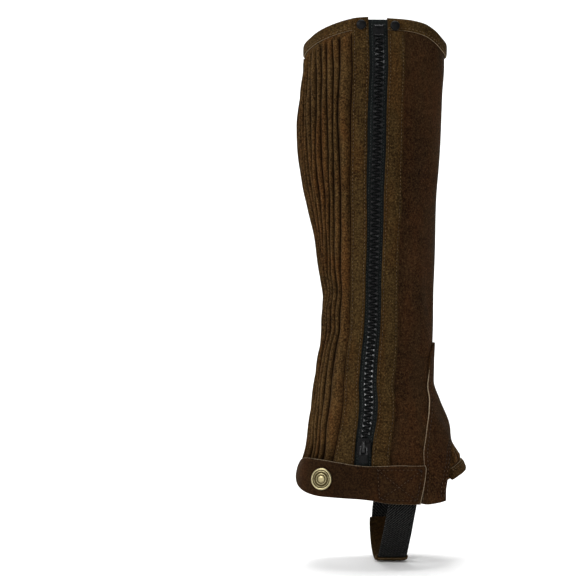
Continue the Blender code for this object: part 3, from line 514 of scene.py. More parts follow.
def suede(name, dark, light, warm, fleck, rubbed, nap):
    """Napped suede: the colours of its shade, its lit nap, its warmer patches and its fibres."""
    material, tree, shader = new_material(name, 0.95, specular=0.03)
    shader.inputs["Sheen Weight"].default_value = 0.022
    shader.inputs["Sheen Roughness"].default_value = 0.45
    shader.inputs["Sheen Tint"].default_value = (0.75, 0.58, 0.38, 1.0)
    place = tree.add("ShaderNodeTexCoord").outputs["Object"]
    cut = tree.add("ShaderNodeAttribute", attribute_name="cut_edge").outputs["Fac"]
    shade = tree.add("ShaderNodeAttribute", attribute_name="shade").outputs["Fac"]
    made = tree.add("ShaderNodeGroup", node_tree=nap)
    for label, value in (("Dark", dark), ("Light", light), ("Warm", warm), ("Fleck", fleck),
                         ("Cut colour", (0.4, 0.315, 0.21))):
        made.inputs[label].default_value = (*value, 1.0)
    made.inputs["Rubbed"].default_value = rubbed
    tree.tree.links.new(place, made.inputs["Place"])
    tree.tree.links.new(cut, made.inputs["Cut"])
    tree.tree.links.new(shade, made.inputs["Shade"])
    tree.tree.links.new(made.outputs["Colour"], shader.inputs["Base Color"])
    bump(tree, shader, made.outputs["Relief"], 0.0006, 0.8)
    return material


def woven(name, weave, dark, light, across, along, twill, depth):
    """Woven cloth: its two colours, its threads in a metre each way, its slant and its relief."""
    material, tree, shader = new_material(name, 0.85, specular=0.07)
    place = tree.add("ShaderNodeUVMap", uv_map="pattern").outputs[0]
    made = tree.add("ShaderNodeGroup", node_tree=weave)
    made.inputs["Threads across"].default_value = across
    made.inputs["Threads along"].default_value = along
    made.inputs["Twill"].default_value = twill
    tree.tree.links.new(place, made.inputs["Place"])
    shade = tree.range(made.outputs["Shade"], 0.2, 0.34)
    colour = tree.blend(shade, (*dark, 1.0), (*light, 1.0))
    tree.tree.links.new(colour, shader.inputs["Base Color"])
    bump(tree, shader, made.outputs["Thread"], depth, 0.9)
    return material


def moulded(name, colour):
    """Moulded plastic, dull and dusty except where it is polished."""
    material, tree, shader = new_material(name, 0.4)
    place = tree.add("ShaderNodeTexCoord").outputs["Object"]
    polish = tree.add("ShaderNodeAttribute", attribute_name="polish").outputs["Fac"]
    dust = tree.range(tree.noise(place, 380.0, 3.0), 0.5, 0.75, 0.0, 0.3)
    tint = tree.blend(dust, (*colour, 1.0), (0.01, 0.0095, 0.008, 1.0))
    tree.tree.links.new(tint, shader.inputs["Base Color"])
    uneven = tree.range(tree.noise(place, 330.0, 2.0), 0.35, 0.65, 0.75, 1.25)
    rough = tree.math("MULTIPLY", tree.range(polish, 0.0, 0.3, 0.42, 0.22), uneven)
    tree.tree.links.new(rough, shader.inputs["Roughness"])
    shine = tree.range(polish, 0.0, 1.0, 0.1, 0.9)
    tree.tree.links.new(shine, shader.inputs["Specular IOR Level"])
    bump(tree, shader, tree.noise(place, 900.0, 2.0), 0.00004)
    return material


def thread_material(name, dark, light):
    """Waxed thread, unevenly dyed."""
    material, tree, shader = new_material(name, 0.7, specular=0.3)
    place = tree.add("ShaderNodeTexCoord").outputs["Object"]
    tone = tree.range(tree.noise(place, 190.0, 3.0), 0.35, 0.65)
    colour = tree.blend(tone, (*dark, 1.0), (*light, 1.0))
    tree.tree.links.new(colour, shader.inputs["Base Color"])
    bump(tree, shader, tree.noise(place, 2600.0, 1.0), 0.00008)
    return material


def brass_material():
    """Antiqued brass: bright where it is rubbed, and brown in its recesses."""
    material, tree, shader = new_material("antique brass", 0.42, metallic=1.0)
    place = tree.add("ShaderNodeTexCoord").outputs["Object"]
    recess = tree.add("ShaderNodeAttribute", attribute_name="recess").outputs["Fac"]
    grime = tree.math("MULTIPLY_ADD", tree.noise(place, 700.0, 3.0), 0.8, recess)
    grime = tree.range(grime, 0.45, 1.1)
    colour = tree.blend(grime, (0.43, 0.375, 0.21, 1.0), (0.065, 0.05, 0.022, 1.0))
    tree.tree.links.new(colour, shader.inputs["Base Color"])
    rough = tree.range(grime, 0.0, 1.0, 0.34, 0.72)
    tree.tree.links.new(rough, shader.inputs["Roughness"])
    bump(tree, shader, tree.noise(place, 1500.0, 2.0), 0.00006)
    return material


NAP = nap_group()
WEAVE = weave_group()
DARK_SUEDE = suede("dark brown suede", (0.0055, 0.0022, 0.0009), (0.037, 0.0185, 0.0072),
                   (0.045, 0.0185, 0.0064), (0.1, 0.056, 0.024), 0.34, NAP)
BROWN_SUEDE = suede("brown suede", (0.0085, 0.004, 0.0011), (0.058, 0.0345, 0.0115),
                    (0.06, 0.0295, 0.0085), (0.135, 0.086, 0.034), 0.2, NAP)
RIBBED_SUEDE = suede("ribbed brown suede", (0.0045, 0.0015, 0.0003), (0.082, 0.046, 0.0155),
                     (0.09, 0.04, 0.0115), (0.18, 0.105, 0.045), 0.22, NAP)
ZIP_TAPE = woven("zip tape", WEAVE, (0.0035, 0.0042, 0.0042), (0.018, 0.0215, 0.021),
                 1000.0, 1300.0, 0.5, 0.00025)
WEBBING = woven("elastic webbing", WEAVE, (0.0004, 0.0004, 0.0005), (0.023, 0.023, 0.0215),
                360.0, 360.0, 1.0, 0.0012)
PLASTIC = moulded("black plastic", (0.0022, 0.0022, 0.0025))
THREAD = thread_material("brown thread", (0.024, 0.012, 0.004), (0.1, 0.057, 0.019))
DARK_THREAD = thread_material("dark brown thread", (0.014, 0.006, 0.002), (0.068, 0.034, 0.011))
TAPE_THREAD = thread_material("grey thread", (0.01, 0.012, 0.012), (0.05, 0.055, 0.05))
TAN_THREAD = thread_material("tan thread", (0.06, 0.032, 0.012), (0.19, 0.11, 0.045))
BRASS = brass_material()


# Cloth

INNER_CUT = 0.1             # how much of the pale cut the shaded inner corner shows
RIM = (0.0, 0.35, 0.8)      # rings of points beside a cut edge
RIM_DROP = (0.55, 0.12, 0.0)    # how much lower they lie
RIM_CUT = (0.85, 0.2, 0.0)      # and how much of the pale cut they show
PINCH = 0.3                 # how deep a row of stitches pulls the suede down
PINCH_WIDTH = 1.0           # and how far to each side
DENT_SHADE = 1.6            # how dark that makes it, for each millimetre
FITTING_ROUNDS = 7          # how often a panel's angles and heights are fitted to each other


def add_piece(name, mesh, material, body, smooth):
    mesh.shade_smooth()
    mesh.set_sharp_from_angle(angle=math.radians(smooth))
    mesh.materials.append(material)
    piece = bpy.data.objects.new(name, mesh)
    bpy.context.scene.collection.objects.link(piece)
    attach(piece, body)
    return piece


def finish_mesh(name, bm, material, body="chap", smooth=60.0):
    bmesh.ops.recalc_face_normals(bm, faces=bm.faces[:])
    mesh = bpy.data.meshes.new(name)
    bm.to_mesh(mesh)
    bm.free()
    return add_piece(name, mesh, material, body, smooth)


def stands_for(piece, node):
    """Hides the solid that a piece stands for."""
    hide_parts(node)


def laid(piece, node):
    """Hides the solid that a piece of cloth stands for."""
    stands_for(piece, node)


def shell(name, inside, outside, material, cut=None, shade=None, keep=None, tube=False,
          pattern=None, smooth=60.0):
    """A wall between two grids of points.

    cut is 1 at the cut edges and 0 inside, shade is 1 in the deepest grooves, keep says which
    facets there are, a tube's last column is welded to its first, and pattern is the place of
    each point on the flat cloth.
    """
    rows, columns = inside.shape[0] - 1, inside.shape[1] - 1
    bm = bmesh.new()
    bmesh.ops.create_grid(bm, x_segments=columns, y_segments=rows, size=0.5)
    column_of = bm.verts.layers.int.new("column")
    row_of = bm.verts.layers.int.new("row")
    edge_of = bm.verts.layers.float.new("cut_edge")
    shade_of = bm.verts.layers.float.new("shade")
    flat = bm.loops.layers.uv.new("pattern")
    for vert in bm.verts:
        vert[column_of] = round((vert.co.x + 0.5) * columns)
        vert[row_of] = round((vert.co.y + 0.5) * rows)
    if keep is not None:
        holes = [face for face in bm.faces
                 if not keep[min(vert[row_of] for vert in face.verts),
                             min(vert[column_of] for vert in face.verts)]]
        bmesh.ops.delete(bm, geom=holes, context="FACES")
    for vert in bm.verts:
        row, column = vert[row_of], vert[column_of]
        vert.co = inside[row, column]
        if cut is not None:
            vert[edge_of] = INNER_CUT * cut[row, column]
        if shade is not None:
            vert[shade_of] = shade[row, column]
    if pattern is not None:
        for face in bm.faces:
            for loop in face.loops:
                loop[flat].uv = pattern[loop.vert[row_of], loop.vert[column_of]]
    if tube:
        bmesh.ops.remove_doubles(bm, verts=bm.verts[:], dist=1e-6)
    result = bmesh.ops.extrude_face_region(bm, geom=bm.faces[:], use_keep_orig=True)
    for vert in result["geom"]:
        if isinstance(vert, bmesh.types.BMVert):
            vert.co = outside[vert[row_of], vert[column_of]]
            vert[edge_of] /= INNER_CUT
    bm.verts.layers.int.remove(column_of)
    bm.verts.layers.int.remove(bm.verts.layers.int["row"])
    return finish_mesh(name, bm, material, smooth=smooth)


def wall(name, angle, height, layer, material, rim, dent=0.0, lift=0.0, under=0.4, **looks):
    """Suede between the two faces of a layer, with rounded rims and sunk stitches."""
    return shell(name, leg(angle, height, layer[0] + under * rim + lift),
                 leg(angle, height, layer[1] - rim - dent + lift), material, **looks)


def marks(length, near, count):
    """Distances from a start to an end, with the near ones beside both, in an added last axis."""
    length = np.asarray(length, float)[..., None]
    squeeze = np.minimum(1.0, 0.45 * length / near[-1])
    start = np.array(near) * squeeze
    middle = np.linspace(0.0, 1.0, count + 1)[1:-1]
    first, last = start[..., -1:], length - start[..., -1:]
    return np.concatenate([start, first + (last - first) * middle,
                           length - start[..., ::-1]], axis=-1)


def side_length(left, right, height):
    """Distance round the leg between two angles."""
    shares = np.linspace(0.0, 1.0, 13)
    points = surface(left[..., None] + (right - left)[..., None] * shares, height[..., None])
    return np.linalg.norm(np.diff(points, axis=-2), axis=-1).sum(axis=-1)


def panel(strips, top, bottom, near_side, near_end, counts, rows):
    """Angles and heights of a panel's grid of points.

    Each strip is a pair of functions that give the angle of its two side edges at a height.
    top and bottom give the heights of its ends at an angle.  near_side and near_end are the
    distances of the points beside the edges, and counts and rows say how many parts there are
    between them.
    """
    n_rows = 2 * len(near_end) + rows - 1
    shares = np.linspace(0.0, 1.0, n_rows)
    angles, heights = [], []
    for (left, right), count in zip(strips, counts):
        columns = 2 * len(near_side) + count - 1
        middle = (left(0.0) + right(0.0)) / 2
        level = top(middle) + (bottom(middle) - top(middle)) * shares
        height = np.repeat(level[:, None], columns, axis=1)
        for _ in range(FITTING_ROUNDS):
            start, end = left(height), right(height)
            length = side_length(start, end, height)
            place = np.take_along_axis(
                marks(length, near_side, count),
                np.arange(columns)[None, :, None].repeat(n_rows, axis=0), axis=-1)[..., 0]
            angle = start + (end - start) * place / length
            high, low = top(angle), bottom(angle)
            down = np.take_along_axis(
                marks(high - low, near_end, rows),
                np.arange(n_rows)[:, None, None].repeat(columns, axis=1), axis=-1)[..., 0]
            height = high - down
        angles.append(angle)
        heights.append(height)
    return np.concatenate(angles, axis=1), np.concatenate(heights, axis=1)


def ring(shape, values, sides="tblr"):
    """A grid that holds the values in rings from its border inwards, and 0 inside."""
    field = np.zeros(shape)
    for k in range(len(values) - 1, -1, -1):
        if "t" in sides:
            field[k, :] = np.maximum(field[k, :], values[k])
        if "b" in sides:
            field[-1 - k, :] = np.maximum(field[-1 - k, :], values[k])
        if "l" in sides:
            field[:, k] = np.maximum(field[:, k], values[k])
        if "r" in sides:
            field[:, -1 - k] = np.maximum(field[:, -1 - k], values[k])
    return field


def cut_open(height, middle, top, rim):
    """Opens a grid between two of its columns below a height, and rounds the rim beside it.

    Gives the facets that stay, and for each column beside the opening the number of its ring
    and the points that lie there.
    """
    keep = np.ones((height.shape[0] - 1, height.shape[1] - 1), bool)
    keep[:, middle] = height[1:, middle] > top
    beside = [(k, column, height[:, column] < top)
              for k in range(len(RIM)) for column in (middle - k, middle + 1 + k)]
    for k, column, below in beside:
        rim[below, column] = np.maximum(rim[below, column], RIM_DROP[k])
    return keep, beside


def pinched(angle, height, rows):
    """How far rows of stitches pull the suede down, at each point of a grid."""
    points = np.concatenate([surface(*row) for row in rows])
    tree = KDTree(len(points))
    for k, point in enumerate(points):
        tree.insert(point, k)
    tree.balance()
    flat = surface(angle, height).reshape(-1, 3)
    distance = np.array([tree.find(point)[2] for point in flat]).reshape(angle.shape)
    return PINCH * np.exp(-(distance / PINCH_WIDTH) ** 2)


def suede_piece(name, strip, top, bottom, layer, material, stitches, near_side, near_end, columns,
                rows, cut="tblr", pale=1.0):
    """A flat-cut piece of suede laid on the leg, with its rows of stitches sunk."""
    angle, height = panel([strip], top, bottom, near_side, near_end, (columns,), rows)
    dent = pinched(angle, height, stitches)
    return wall(name, angle, height, layer, material, ring(angle.shape, RIM_DROP), dent,
                under=0.5, cut=pale * ring(angle.shape, RIM_CUT, cut), shade=DENT_SHADE * dent)


# Edges

def edge_from(table, column, side=1.0, more=0.0):
    """An edge that a table gives: the angle at a height, or the height at an angle."""
    return lambda key: side * table(key, column) + more


def edge_round(table, column, more=0.0):
    """An edge round the leg that a table gives: the height at any angle."""
    return lambda angle: table(lap(angle), column) + more


def same(value):
    """A straight edge, which keeps its angle or its height."""
    return lambda key: value + 0.0 * key


def insert_edge(angle):
    """Lower edge of the gusset."""
    return INSERT_EDGE - INSERT_DROP * np.minimum(1.0, np.abs(angle) / 45.0) ** 2


# Sewing

SEWING_STEP = 0.8       # between the points of a row's path
SUNK = 0.25             # how far stitches lie in the suede
STITCH_TURN = 9.0       # how far a stitch may lie askew, in degrees
STITCH_STRETCH = (0.72, 1.1)    # shortest and longest stitch, as shares of the usual one


def run_along(points):
    """The distance along a path, at each of its points."""
    steps = np.linalg.norm(np.diff(points, axis=0), axis=1)
    return np.concatenate([[0.0], np.cumsum(steps)])


def evenly(angle, height, step=SEWING_STEP):
    """Points a step apart along a path on the leg."""
    run = run_along(surface(angle, height))
    at = np.linspace(0.0, run[-1], max(2, int(run[-1] / step) + 1))
    return np.interp(at, run, angle), np.interp(at, run, height)


def edge_row(edge, heights, inset):
    """A row of stitches beside a side edge, inset towards the back where it is positive."""
    heights = np.linspace(*heights, 240)
    return evenly(shifted(edge(heights), heights, inset), heights)


def level_row(edge, angles, inset):
    """A row of stitches along an upper or lower edge, some millimetres above it."""
    angles = np.linspace(*angles, 240)
    return evenly(angles, edge(angles) + inset)


def crossed_box(corners):
    """Rows of stitches round four corners, and crossed between them."""
    rows = []
    for i, j in ((0, 1), (1, 2), (2, 3), (3, 0), (0, 2), (1, 3)):
        (start_angle, start_height), (end_angle, end_height) = corners[i], corners[j]
        rows.append(evenly(np.linspace(start_angle, end_angle, 80),
                           np.linspace(start_height, end_height, 80)))
    return rows


def as_template(bm):
    """The points and faces of a small shape that is then copied."""
    bm.verts.index_update()
    points = np.array([vert.co for vert in bm.verts])
    faces = [[vert.index for vert in face.verts] for face in bm.faces]
    bm.free()
    return points, faces


def stitch_template(length, width, rise):
    bm = bmesh.new()
    bmesh.ops.create_uvsphere(bm, u_segments=8, v_segments=6, radius=1.0,
                              matrix=Matrix.Rotation(math.pi / 2, 4, "Y"))
    bmesh.ops.scale(bm, vec=(length / 2 * MM, width / 2 * MM, rise * MM), verts=bm.verts[:])
    return as_template(bm)


def joined(name, template, places, material, smooth=60.0, polish=None, shares=None):
    """One mesh of copies of a template, each turned and placed by its own 4 by 4 matrix.

    polish says how polished each point of the template is, and shares how much each copy has.
    """
    points, faces = template
    places = np.array(places)
    moved = np.einsum("nij,kj->nki", places[:, :3, :3], points) + places[:, None, :3, 3]
    count = len(points)
    every = [[index + copy * count for index in face]
             for copy in range(len(places)) for face in faces]
    mesh = bpy.data.meshes.new(name)
    mesh.from_pydata(moved.reshape(-1, 3).tolist(), [], every)
    if polish is not None:
        layer = mesh.attributes.new("polish", "FLOAT", "POINT")
        layer.data.foreach_set("value", np.outer(shares, polish).ravel().astype(np.float32))
    return add_piece(name, mesh, material, "chap", smooth)


def sew(node, rows, offset, material, pitch=3.5, length=2.3, width=0.62, rise=0.3, seed=1):
    """Stitches along rows of places, on the outer face of a node's cloth."""
    random.seed(seed)
    places = []
    for angle, height in rows:
        run = run_along(surface(angle, height))
        at = np.arange(pitch / 2, run[-1], pitch)
        a, h = np.interp(at, run, angle), np.interp(at, run, height)
        next_a, next_h = np.interp(at + 1.0, run, angle), np.interp(at + 1.0, run, height)
        starts, nexts = leg(a, h, offset), leg(next_a, next_h, offset)
        for here, ahead, out in zip(starts, nexts, outward(a, h)):
            along = Vector(ahead - here).normalized()
            out = Vector(out)
            along = (along - out * along.dot(out)).normalized()
            side = out.cross(along)
            slant = math.radians(random.uniform(-STITCH_TURN, STITCH_TURN))
            along, side = (along * math.cos(slant) + side * math.sin(slant),
                           side * math.cos(slant) - along * math.sin(slant))
            place = Matrix((along, side, out)).transposed().to_4x4()
            place = place @ Matrix.Diagonal((random.uniform(*STITCH_STRETCH), 1.0, 1.0, 1.0))
            place.translation = Vector(here)
            places.append(place)
    return joined(f"thread_{node}", stitch_template(length, width, rise), places, material)


# Panels

def make_main_panel():
    outer_columns, inner_columns, rows = 44, 70, 130

    def cutout(side):
        """Angle of the cutout's edge, under the instep piece on the outer or inner side."""
        def edge(height):
            grow = np.clip((CUTOUT_TOP - height) / CUTOUT_GROWTH, 0.0, 1.0)
            far = INSTEP(height, side) - INSTEP_OVERLAP
            return CUTOUT_TIP + (far - CUTOUT_TIP) * grow
        return edge

    outer, inner = cutout("outer"), cutout("inner")
    strips = [(edge_from(ZIP, "tape_front", more=-TUCK), outer),
              (lambda height: -inner(height), same(JOIN + SEAM / 2))]
    angle, height = panel(strips, upper_edge, lower_edge, RIM, RIM,
                          (outer_columns, inner_columns), rows)
    rim, cut = ring(angle.shape, RIM_DROP), ring(angle.shape, RIM_CUT, "b")
    keep, beside = cut_open(height, 2 * len(RIM) + outer_columns - 2, CUTOUT_TOP, rim)
    for k, column, below in beside:
        cut[below, column] = RIM_CUT[k]
    piece = wall("chap_main_panel", angle, height, BASE, DARK_SUEDE, rim, cut=cut, keep=keep)
    laid(piece, "main_panel")


RIB_POINTS = 10         # points across one rib
RIB_MARGIN = 0.9        # degrees between the ribs and the facing or the strip beside them
RIB_SHORT = 0.3         # and millimetres between them and the binding or the hem
RIB_CREST = 0.36        # where the crest lies between a rib's two grooves
RIB_SHADES = (1.15, 0.95)       # how dark a groove is before and behind its crest
RIB_SWAY = 0.009        # how far a rib wanders, as a share of the panel's width
RIB_MORE = 0.8          # how much higher the cloth's ribs stand than the solid's
RIB_BED = 1.15          # how far their grooves lie under the panel's face
RIB_END_ROWS = 1.4      # rows of points in which a rib rises at its ends
SIDE_RISE = 0.25        # part of a rib in which the first and the last one rise
SIDE_BED = 1.1          # from so far under the panel's face
RIB_STRAP_SHADOW = 0.42        # painted shadow: how much darker they are over the strap
STRAP_SHADOW_TOP = -268.0      # height where that painted shadow starts
STRAP_SHADOW_FADE = 22.0
STRAP_SHADOW_BACK = 186.0      # angle where the painted shadow stops
STRAP_SHADOW_BACK_FADE = 10.0


def eased(share):
    """A share from 0 to 1 that starts and ends softly."""
    return share * share * (3.0 - 2.0 * share)


def rib_shares(height, wave):
    """Where each part of each rib lies at a height, on the way from the facing to the strip."""
    crests = [float(CRESTS(height, f"c{k}")) for k in range(7)]
    hidden = RIBS - len(crests)
    step = (1.0 - crests[-1]) / (hidden + 0.5)
    crests += [crests[-1] + step * (k + 1) for k in range(hidden)]
    knots, shares = [0.0], [0.0]
    for k, crest in enumerate(crests):
        if k:
            knots.append(k)
            shares.append((crests[k - 1] + crest) / 2)
        knots.append(k + 0.5)
        shares.append(crest)
    return np.interp(wave, knots + [RIBS], shares + [1.0])


def rib_sway(rib, height):
    """How a rib wanders sideways as it runs up the calf."""
    return np.sin(height / 31.0 + rib * 1.9) + 0.6 * np.sin(height / 17.0 + rib * 0.7)


def rib_swell(rib, height):
    """How a rib grows thicker and thinner, about 1."""
    return (1.0 + 0.16 * np.sin(height / 14.0 + rib * 2.3) + 0.1 * np.sin(height / 7.3 + rib * 4.1)
            + 0.1 * np.sin(rib * 1.7))


def make_ribbed_panel():
    """Elastic panel, whose ribs sway and swell as they run up the calf."""
    rows, rounds = 150, 6
    inner_edge = STRIP_BACK + 360.0 - RIB_MARGIN
    wave = np.arange(RIBS * RIB_POINTS + 1) / RIB_POINTS
    rib = np.floor(np.minimum(wave, RIBS - 0.01))
    place = wave - rib
    from_side = np.minimum(wave, RIBS - wave)
    down = np.linspace(0.0, 1.0, rows + 1)[:, None]
    angle = np.full((rows + 1, len(wave)), 140.0)
    for _ in range(rounds):
        top, bottom = below_binding(angle) - RIB_SHORT, above_hem(angle) + RIB_SHORT
        height = top + (bottom - top) * down
        outer_edge = ZIP(height, "facing_back") + RIB_MARGIN
        sway = rib_sway(rib, height)
        sway = sway + (rib_sway(rib + 1, height) - sway) * place
        shares = np.stack([rib_shares(level, wave) for level in height[:, len(wave) // 2]])
        wander = RIB_SWAY * sway * np.clip(from_side, 0.0, 1.0)
        angle = outer_edge + (inner_edge - outer_edge) * (shares + wander)
    lean = np.where(place < RIB_CREST, place / (2 * RIB_CREST),
                    0.5 + (place - RIB_CREST) / (2 * (1 - RIB_CREST)))
    crest = np.clip(1.0 - (2.0 * lean - 1.0) ** 2, 0.0, 1.0) ** 0.9
    ends = eased(np.clip(np.minimum(down, 1.0 - down) * rows / RIB_END_ROWS, 0.0, 1.0))
    relief = ((RIB_HEIGHT + RIB_MORE) * rib_swell(rib, height) * crest - RIB_BED) * ends
    side = from_side / SIDE_RISE
    relief = np.where(side < 1.0, np.minimum(relief, -SIDE_BED * ends + relief * side), relief)
    shade = np.where(place < RIB_CREST, *RIB_SHADES) * (1.0 - crest) * ends
    # Painted shadow on the ribs just above the strap, darker towards the bottom
    shadowed = np.clip((STRAP_SHADOW_TOP - height) / STRAP_SHADOW_FADE, 0.0, 1.0)
    near_strap = np.clip((STRAP_SHADOW_BACK - angle) / STRAP_SHADOW_BACK_FADE, 0.0, 1.0)
    shade = shade + RIB_STRAP_SHADOW * shadowed * near_strap

    # A plain column at each side and a plain row at each end lie under the pieces around
    angle = np.concatenate([ZIP(height[:, :1], "tape_back") + TUCK, angle,
                            np.full((rows + 1, 1), JOIN + 360.0 - SEAM / 2)], axis=1)
    height = np.pad(height, ((0, 0), (1, 1)), mode="edge")
    height = np.concatenate([upper_edge(angle[:1]), height, lower_edge(angle[-1:])])
    angle = np.pad(angle, ((1, 1), (0, 0)), mode="edge")
    relief = np.pad(relief, 1)
    shade = np.pad(shade, 1, mode="edge")
    piece = shell("chap_ribbed_panel", leg(angle, height, BASE[0]),
                  leg(angle, height, BASE[1] + relief), RIBBED_SUEDE, shade=shade, smooth=80.0)
    laid(piece, "ribbed_panel")


def make_back_strip():
    back, front = same(STRIP_BACK), edge_from(STRIP, "front_edge")
    span = (58.0, -296.0)
    rows = [edge_row(front, span, -3.2), edge_row(front, span, -10.5), edge_row(back, span, 3.0)]
    piece = suede_piece("chap_back_strip", (back, front), below_binding, above_hem, SECOND,
                        BROWN_SUEDE, rows, RIM + (2.4, 3.2, 4.0), (0.0, 0.6), 14, 120, cut="r",
                        pale=0.65)
    thread = sew("back_strip", rows, SECOND[1] - SUNK, THREAD, seed=3)
    laid(piece, "back_strip")


PATCH_TOP = -69.5       # angles of the calf patch's highest and lowest point
PATCH_FOOT = -57.0
PATCH_END = 0.25        # how far they lie past the ends of its table
PATCH_CORNERS = ((-24, 28), (-20, -178), (-93, -179), (-105, 28))
PATCH_NEAR = RIM + (2.2, 3.2, 5.5, 8.5, 9.3, 10.1)
PATCH_SEWING = (2.2, 9.3)
PATCH_SMOOTHING = 60    # rounds that smooth its outline
PATCH_SETTLING = 1500   # rounds that even out its middle


def patch_grid(columns, rows):
    """Angles and heights of the calf patch, whose rings of points follow its outline.

    Also gives a function for a path on it, some millimetres inside its outline.
    """
    share = (1 - np.cos(np.linspace(0.0, math.pi, 300))) / 2
    level = PATCH.keys[-1] + (PATCH.keys[0] - PATCH.keys[-1]) * share
    front, back = PATCH(level, "front"), PATCH(level, "back")
    angle = np.concatenate([[PATCH_TOP], front, [PATCH_FOOT], back[::-1], [PATCH_TOP]])
    top, foot = level[0] + PATCH_END, level[-1] - PATCH_END
    height = np.concatenate([[top], level, [foot], level[::-1], [top]])
    angle, height = evenly(angle, height, 0.5)
    for _ in range(PATCH_SMOOTHING):
        angle = (angle + np.roll(angle, 1) + np.roll(angle, -1)) / 3
        height = (height + np.roll(height, 1) + np.roll(height, -1)) / 3
    scale = degree(angle, height)
    run = np.concatenate([[0.0], np.cumsum(np.hypot(np.diff(angle) * scale[1:], np.diff(height)))])
    run = run / run[-1]
    corners = []
    for corner_angle, corner_height in PATCH_CORNERS:
        gap = ((angle - corner_angle) * 0.9) ** 2 + (height - corner_height) ** 2
        corners.append(run[int(np.argmin(gap))])
    corners.append(corners[0] + 1.0)

    def point(at, inset):
        """Points at shares of the outline's length, some millimetres inside it."""
        at = at % 1.0
        a, h = np.interp(at, run, angle), np.interp(at, run, height)
        ahead, behind = (at + 0.004) % 1.0, (at - 0.004) % 1.0
        k = degree(a, h)
        along_x = (np.interp(ahead, run, angle) - np.interp(behind, run, angle)) * k
        along_y = np.interp(ahead, run, height) - np.interp(behind, run, height)
        size = np.hypot(along_x, along_y)
        return a + inset * along_y / size / k, h - inset * along_x / size

    grids = np.zeros((2, rows + 1, columns + 1))
    for k, inset in enumerate(PATCH_NEAR):
        across = np.linspace(0.0, 1.0, columns + 1 - 2 * k)
        down = np.linspace(0.0, 1.0, rows + 1 - 2 * k)
        c0, c1, c2, c3, c4 = corners
        sides = [
            ((slice(k, rows + 1 - k), columns - k), c0 + (c1 - c0) * down),
            ((rows - k, slice(k, columns + 1 - k)), (c1 + (c2 - c1) * across)[::-1]),
            ((slice(k, rows + 1 - k), k), (c2 + (c3 - c2) * down)[::-1]),
            ((k, slice(k, columns + 1 - k)), c3 + (c4 - c3) * across)]
        for (row, column), at in sides:
            grids[:, row, column] = point(at, inset)

    # The middle is stretched between the rings until it is even
    k = len(PATCH_NEAR)
    u = np.linspace(0.0, 1.0, columns + 3 - 2 * k)[None, 1:-1]
    v = np.linspace(0.0, 1.0, rows + 3 - 2 * k)[1:-1, None]
    for grid in grids:
        left, right = grid[k:-k, [k - 1]], grid[k:-k, [-k]]
        top, foot = grid[[k - 1], k:-k], grid[[-k], k:-k]
        grid[k:-k, k:-k] = 0.5 * (left + (right - left) * u) + 0.5 * (top + (foot - top) * v)
        for _ in range(PATCH_SETTLING):
            grid[k:-k, k:-k] = 0.25 * (
                grid[k - 1:-k - 1, k:-k] + grid[k + 1:1 - k, k:-k]
                + grid[k:-k, k - 1:-k - 1] + grid[k:-k, k + 1:1 - k])

    def path(inset):
        return evenly(*point(np.linspace(0.0, 1.0, 900), inset))

    return grids[0], grids[1], path


def make_calf_patch():
    angle, height, path = patch_grid(46, 96)
    rows = [path(inset) for inset in PATCH_SEWING]
    dent = pinched(angle, height, rows)
    piece = wall("chap_calf_patch", angle, height, SECOND, BROWN_SUEDE,
                 ring(angle.shape, RIM_DROP), dent, cut=0.3 * ring(angle.shape, RIM_CUT),
                 shade=DENT_SHADE * dent)
    thread = sew("calf_patch", rows, SECOND[1] - SUNK, THREAD, seed=4)
    laid(piece, "calf_patch")


FACING_SEWING = 1.7     # from each edge of a facing to its row of stitches


def make_facings():
    foot = edge_round(BOTTOM, "edge", EDGE_SETBACK)
    full_top = edge_round(TOP, "edge", -EDGE_SETBACK)
    for name, inner_line, outer_line, top, sewn_top, side in (
            ("zip_facing_back", "tape_back", "facing_back", full_top, 88.0, 1.0),
            ("zip_facing_front", "tape_front", "facing_front", below_binding, 78.0, -1.0)):
        inner, outer = edge_from(ZIP, inner_line), edge_from(ZIP, outer_line)
        span = (sewn_top, TAPE_FOOT)
        rows = [edge_row(inner, span, FACING_SEWING * side),
                edge_row(outer, span, -FACING_SEWING * side)]
        strip = (inner, outer) if side > 0 else (outer, inner)
        piece = suede_piece(f"chap_{name}", strip, top, foot, SECOND, BROWN_SUEDE, rows,
                            RIM + (FACING_SEWING, 2.5), RIM, 6, 140, pale=0.12)
        thread = sew(name, rows, SECOND[1] - SUNK, THREAD, pitch=3.1, length=2.0, seed=5)
        laid(piece, name)


# Bindings and hems

FOLD = 3.2              # depth of a folded band's round edge
FOLD_INNER = 0.86       # how deep its inner face goes into that edge, as a share
FOLD_PARTS = 8
BAND_SEWING = 2.0       # from the band's free edge to its row of stitches
BAND_SUNK = 0.4
BAND_PINCH = 0.28
BAND_THIN = 0.6         # how much thinner the band is at its free edge
BAND_THIN_DEPTH = 3.2   # and how far in from there it is back to its own thickness
BAND_PALE = 0.72
BAND_END_PALE = 0.25    # how much of the pale cut the band's two ends show


